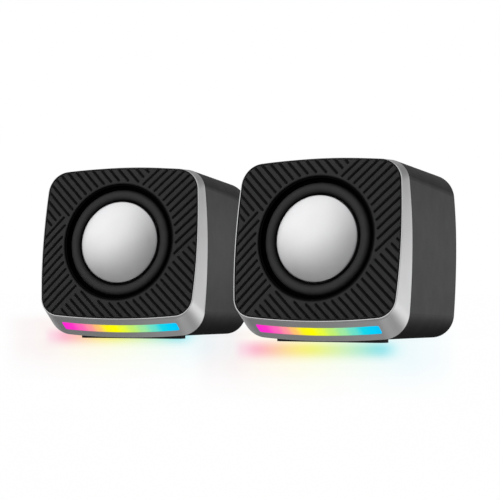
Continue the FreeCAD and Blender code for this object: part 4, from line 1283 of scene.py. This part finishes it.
def low_front(m):
    """1 for an eye low down near the camera heading, 0 from above or from the sides."""
    back_x, back_y = (-VIEW_FORWARD[:2] / np.hypot(*VIEW_FORWARD[:2])).tolist()
    x, y, z = m.separate(m.node("NewGeometry").outputs["Incoming"])
    along = m.math("ADD", m.math("MULTIPLY", x, back_x), m.math("MULTIPLY", y, back_y))
    across = m.math("ABSOLUTE", m.math("SUBTRACT", m.math("MULTIPLY", x, back_y),
                                       m.math("MULTIPLY", y, back_x)))
    turned = m.math("ARCTAN2", across, along)
    low = m.ranged(m.math("ABSOLUTE", z), to=(1.0, 0.0), over=GLOW_STEEPNESS)
    return m.math("MULTIPLY", low, m.ranged(turned, to=(1.0, 0.0), over=GLOW_TURN))


def band_over_wash():
    """Band colours divided by the wash they lie on."""
    wash = colour_stops(WASH_COLOURS)
    positions = [position for position, _ in wash]
    stops = []
    for position, colour in colour_stops(BAND_COLOURS):
        base = [np.interp(position, positions, [c[k] for _, c in wash]) for k in range(3)]
        stops.append((position,
                      tuple(float(min(colour[k] / base[k], 1.0)) for k in range(3)) + (1.0,)))
    return stops


def make_glow(side):
    (left, right), (top, bottom), height = GLOW_VIEW[side]

    def on_floor(across, down):
        ray = (VIEW_FORWARD + VIEW_RIGHT * (left + (right - left) * across)
               + VIEW_UP * (top + (bottom - top) * down))
        return CAMERA_AT + ray * ((height - CAMERA_AT[2]) / ray[2])

    glow = light_sheet("glow_" + side, GLOW_CELLS, on_floor)
    m, across, down = sheet_material("glow_" + side)
    ripple = m.ranged(m.noise(40.0, detail=2.0), to=(0.97, 1.0))
    band = m.math("MULTIPLY", spread_strength(m, across, BAND_ACROSS, down, BAND_DOWN), ripple)
    wash = spread_strength(m, across, WASH_ACROSS, down, WASH_DOWN)
    seen = low_front(m)
    tints = []
    for strength, stops in ((band, band_over_wash()), (wash, colour_stops(WASH_COLOURS))):
        tints.append(m.mix(m.math("MULTIPLY", strength, seen), WHITE,
                           m.ramp(across, stops, "B_SPLINE")))
    finish_sheet(glow, side, m, m.mix(1.0, *tints, blend="MULTIPLY"))


def make_pool(side):
    z = -DRIVER_HEIGHT + POOL_LIFT[side]

    def below_cabinet(across, down):
        return (-POOL_HALF_WIDTH + 2 * POOL_HALF_WIDTH * across,
                POOL_BACK - POOL_DEPTH * down, z)

    pool = light_sheet("pool_" + side, POOL_CELLS, below_cabinet)
    pool.matrix_world = PLACE[side]
    m, across, down = sheet_material("pool_" + side)
    above = m.math("SUBTRACT", 1.0, low_front(m))
    strength = m.math("MULTIPLY", spread_strength(m, across, POOL_ACROSS, down, POOL_DOWN),
                      above)
    strength = m.math("MULTIPLY", strength,
                      m.ranged(m.noise(30.0, detail=2.0), to=(0.96, 1.0)))
    colour = m.ramp(across, colour_stops(POOL_COLOURS), "B_SPLINE")
    finish_sheet(pool, side, m, m.mix(strength, WHITE, colour))


make_floor()
for side in SIDES:
    make_glow(side)
    make_pool(side)

# ---------------------------------------------------------------------------
# world: soft boxes round the product, each a wide smooth lobe
# ---------------------------------------------------------------------------
# direction x, y, z and brightness, as mirrored in glossy surfaces
SOFT_BOXES = [
    (-0.2, -0.33, 0.92, 0.24), (0.39, -0.28, 0.88, 0.21), (-0.52, -0.06, 0.86, 0.53),
    (0.01, -0.58, 0.81, 0.27), (-0.52, -0.42, 0.74, 0.14), (0.11, 0.68, 0.72, 0.25),
    (-0.71, 0.18, 0.68, 0.05), (-0.25, -0.73, 0.63, 0.25), (0.41, 0.73, 0.54, 0.05),
    (0.2, -0.83, 0.52, 0.24), (0.87, 0.13, 0.48, 0.14), (-0.92, 0.02, 0.39, 0.47),
    (-0.11, -0.93, 0.34, 0.16), (0.94, -0.19, 0.3, 0.12), (-0.82, -0.49, 0.28, 0.58),
    (0.28, 0.93, 0.26, 0.44), (-0.91, 0.36, 0.21, 0.54), (-0.44, -0.88, 0.17, 0.53),
    (0.1, -0.99, 0.06, 0.1), (-0.73, -0.69, -0.01, 0.08), (0.4, 0.89, -0.21, 0.38),
    (0.31, -0.92, -0.23, 0.16), (0.94, 0.22, -0.28, 0.7), (0.64, 0.66, -0.39, 0.54),
    (-0.59, 0.68, -0.43, 0.26), (-0.3, -0.75, -0.59, 0.12), (-0.24, 0.36, -0.9, 0.07),
    (0.06, -0.14, -0.99, 0.67),
]
SOFT_BOX_GAIN = 1.30
# the same columns, for the light falling on matt surfaces
MATT_LIGHTS = [
    (0.99, -0.06, 0.0, 6.3), (-0.15, -0.97, 0.15, 5.8), (-0.2, 0.25, 0.95, 1.0),
    (-0.35, 0.9, 0.25, 4.0), (-0.95, 0.1, 0.15, 2.6),
]


def make_world():
    world = bpy.data.worlds.new("studio")
    scene.world = world
    world.use_nodes = True
    world.cycles.sampling_method = "NONE"
    tree = Nodes(world.node_tree, "OutputWorld")
    path = tree.node("LightPath").outputs

    def lobes(rows, sharpness, ambient, gain=1.0):
        total = ambient
        for x, y, z, strength in rows:
            dot = tree.node("VectorMath", {"operation": "DOT_PRODUCT"})
            tree.put(dot.inputs[0], tree.position["Generated"])
            tree.put(dot.inputs[1], Vector((x, y, z)).normalized())
            falloff = tree.math("MULTIPLY_ADD", dot.outputs["Value"], sharpness, -sharpness)
            lobe = tree.math("EXPONENT", falloff, c=None)
            total = tree.math("MULTIPLY_ADD", lobe, gain * strength, total)
        return total

    mirrored = lobes(SOFT_BOXES, sharpness=8.0, ambient=0.0, gain=SOFT_BOX_GAIN)
    falling = lobes(MATT_LIGHTS, sharpness=12.0, ambient=0.01)
    pick = tree.node("Mix")
    tree.put(pick.inputs[0], path["Is Glossy Ray"])
    tree.put(pick.inputs[2], falling)
    tree.put(pick.inputs[3], mirrored)
    soft = tree.node("Background", Strength=pick.outputs[0])
    plain = tree.node("Background", Strength=1.0, Color=WHITE)
    tree.finish(tree.mix_shaders(path["Is Camera Ray"], soft, plain))


# ---------------------------------------------------------------------------
# key light, camera and view settings
# ---------------------------------------------------------------------------
def make_key_light():
    location, target = Vector((-0.35, -0.9, 0.9)), Vector((-0.04, 0.0, 0.03))
    light = bpy.data.lights.new("key", "AREA")
    light.shape = "DISK"
    light.size = 0.7
    light.energy = 1.0
    key = link_object("key", light)
    key.location = location
    aim(key, target - location)
    key.visible_glossy = False


def make_camera():
    data = bpy.data.cameras.new("camera")
    data.sensor_width = SENSOR_WIDTH
    data.lens = CAMERA_LENS
    data.clip_start, data.clip_end = 0.01, 50.0
    camera = link_object("camera", data)
    camera.location = Vector(CAMERA_AT) * MM
    aim(camera, Vector(VIEW_FORWARD))
    scene.camera = camera


make_world()
make_key_light()
make_camera()

scene.view_settings.view_transform = "Standard"
scene.view_settings.look = "None"
scene.view_settings.exposure = 0.0
scene.view_settings.gamma = 1.0
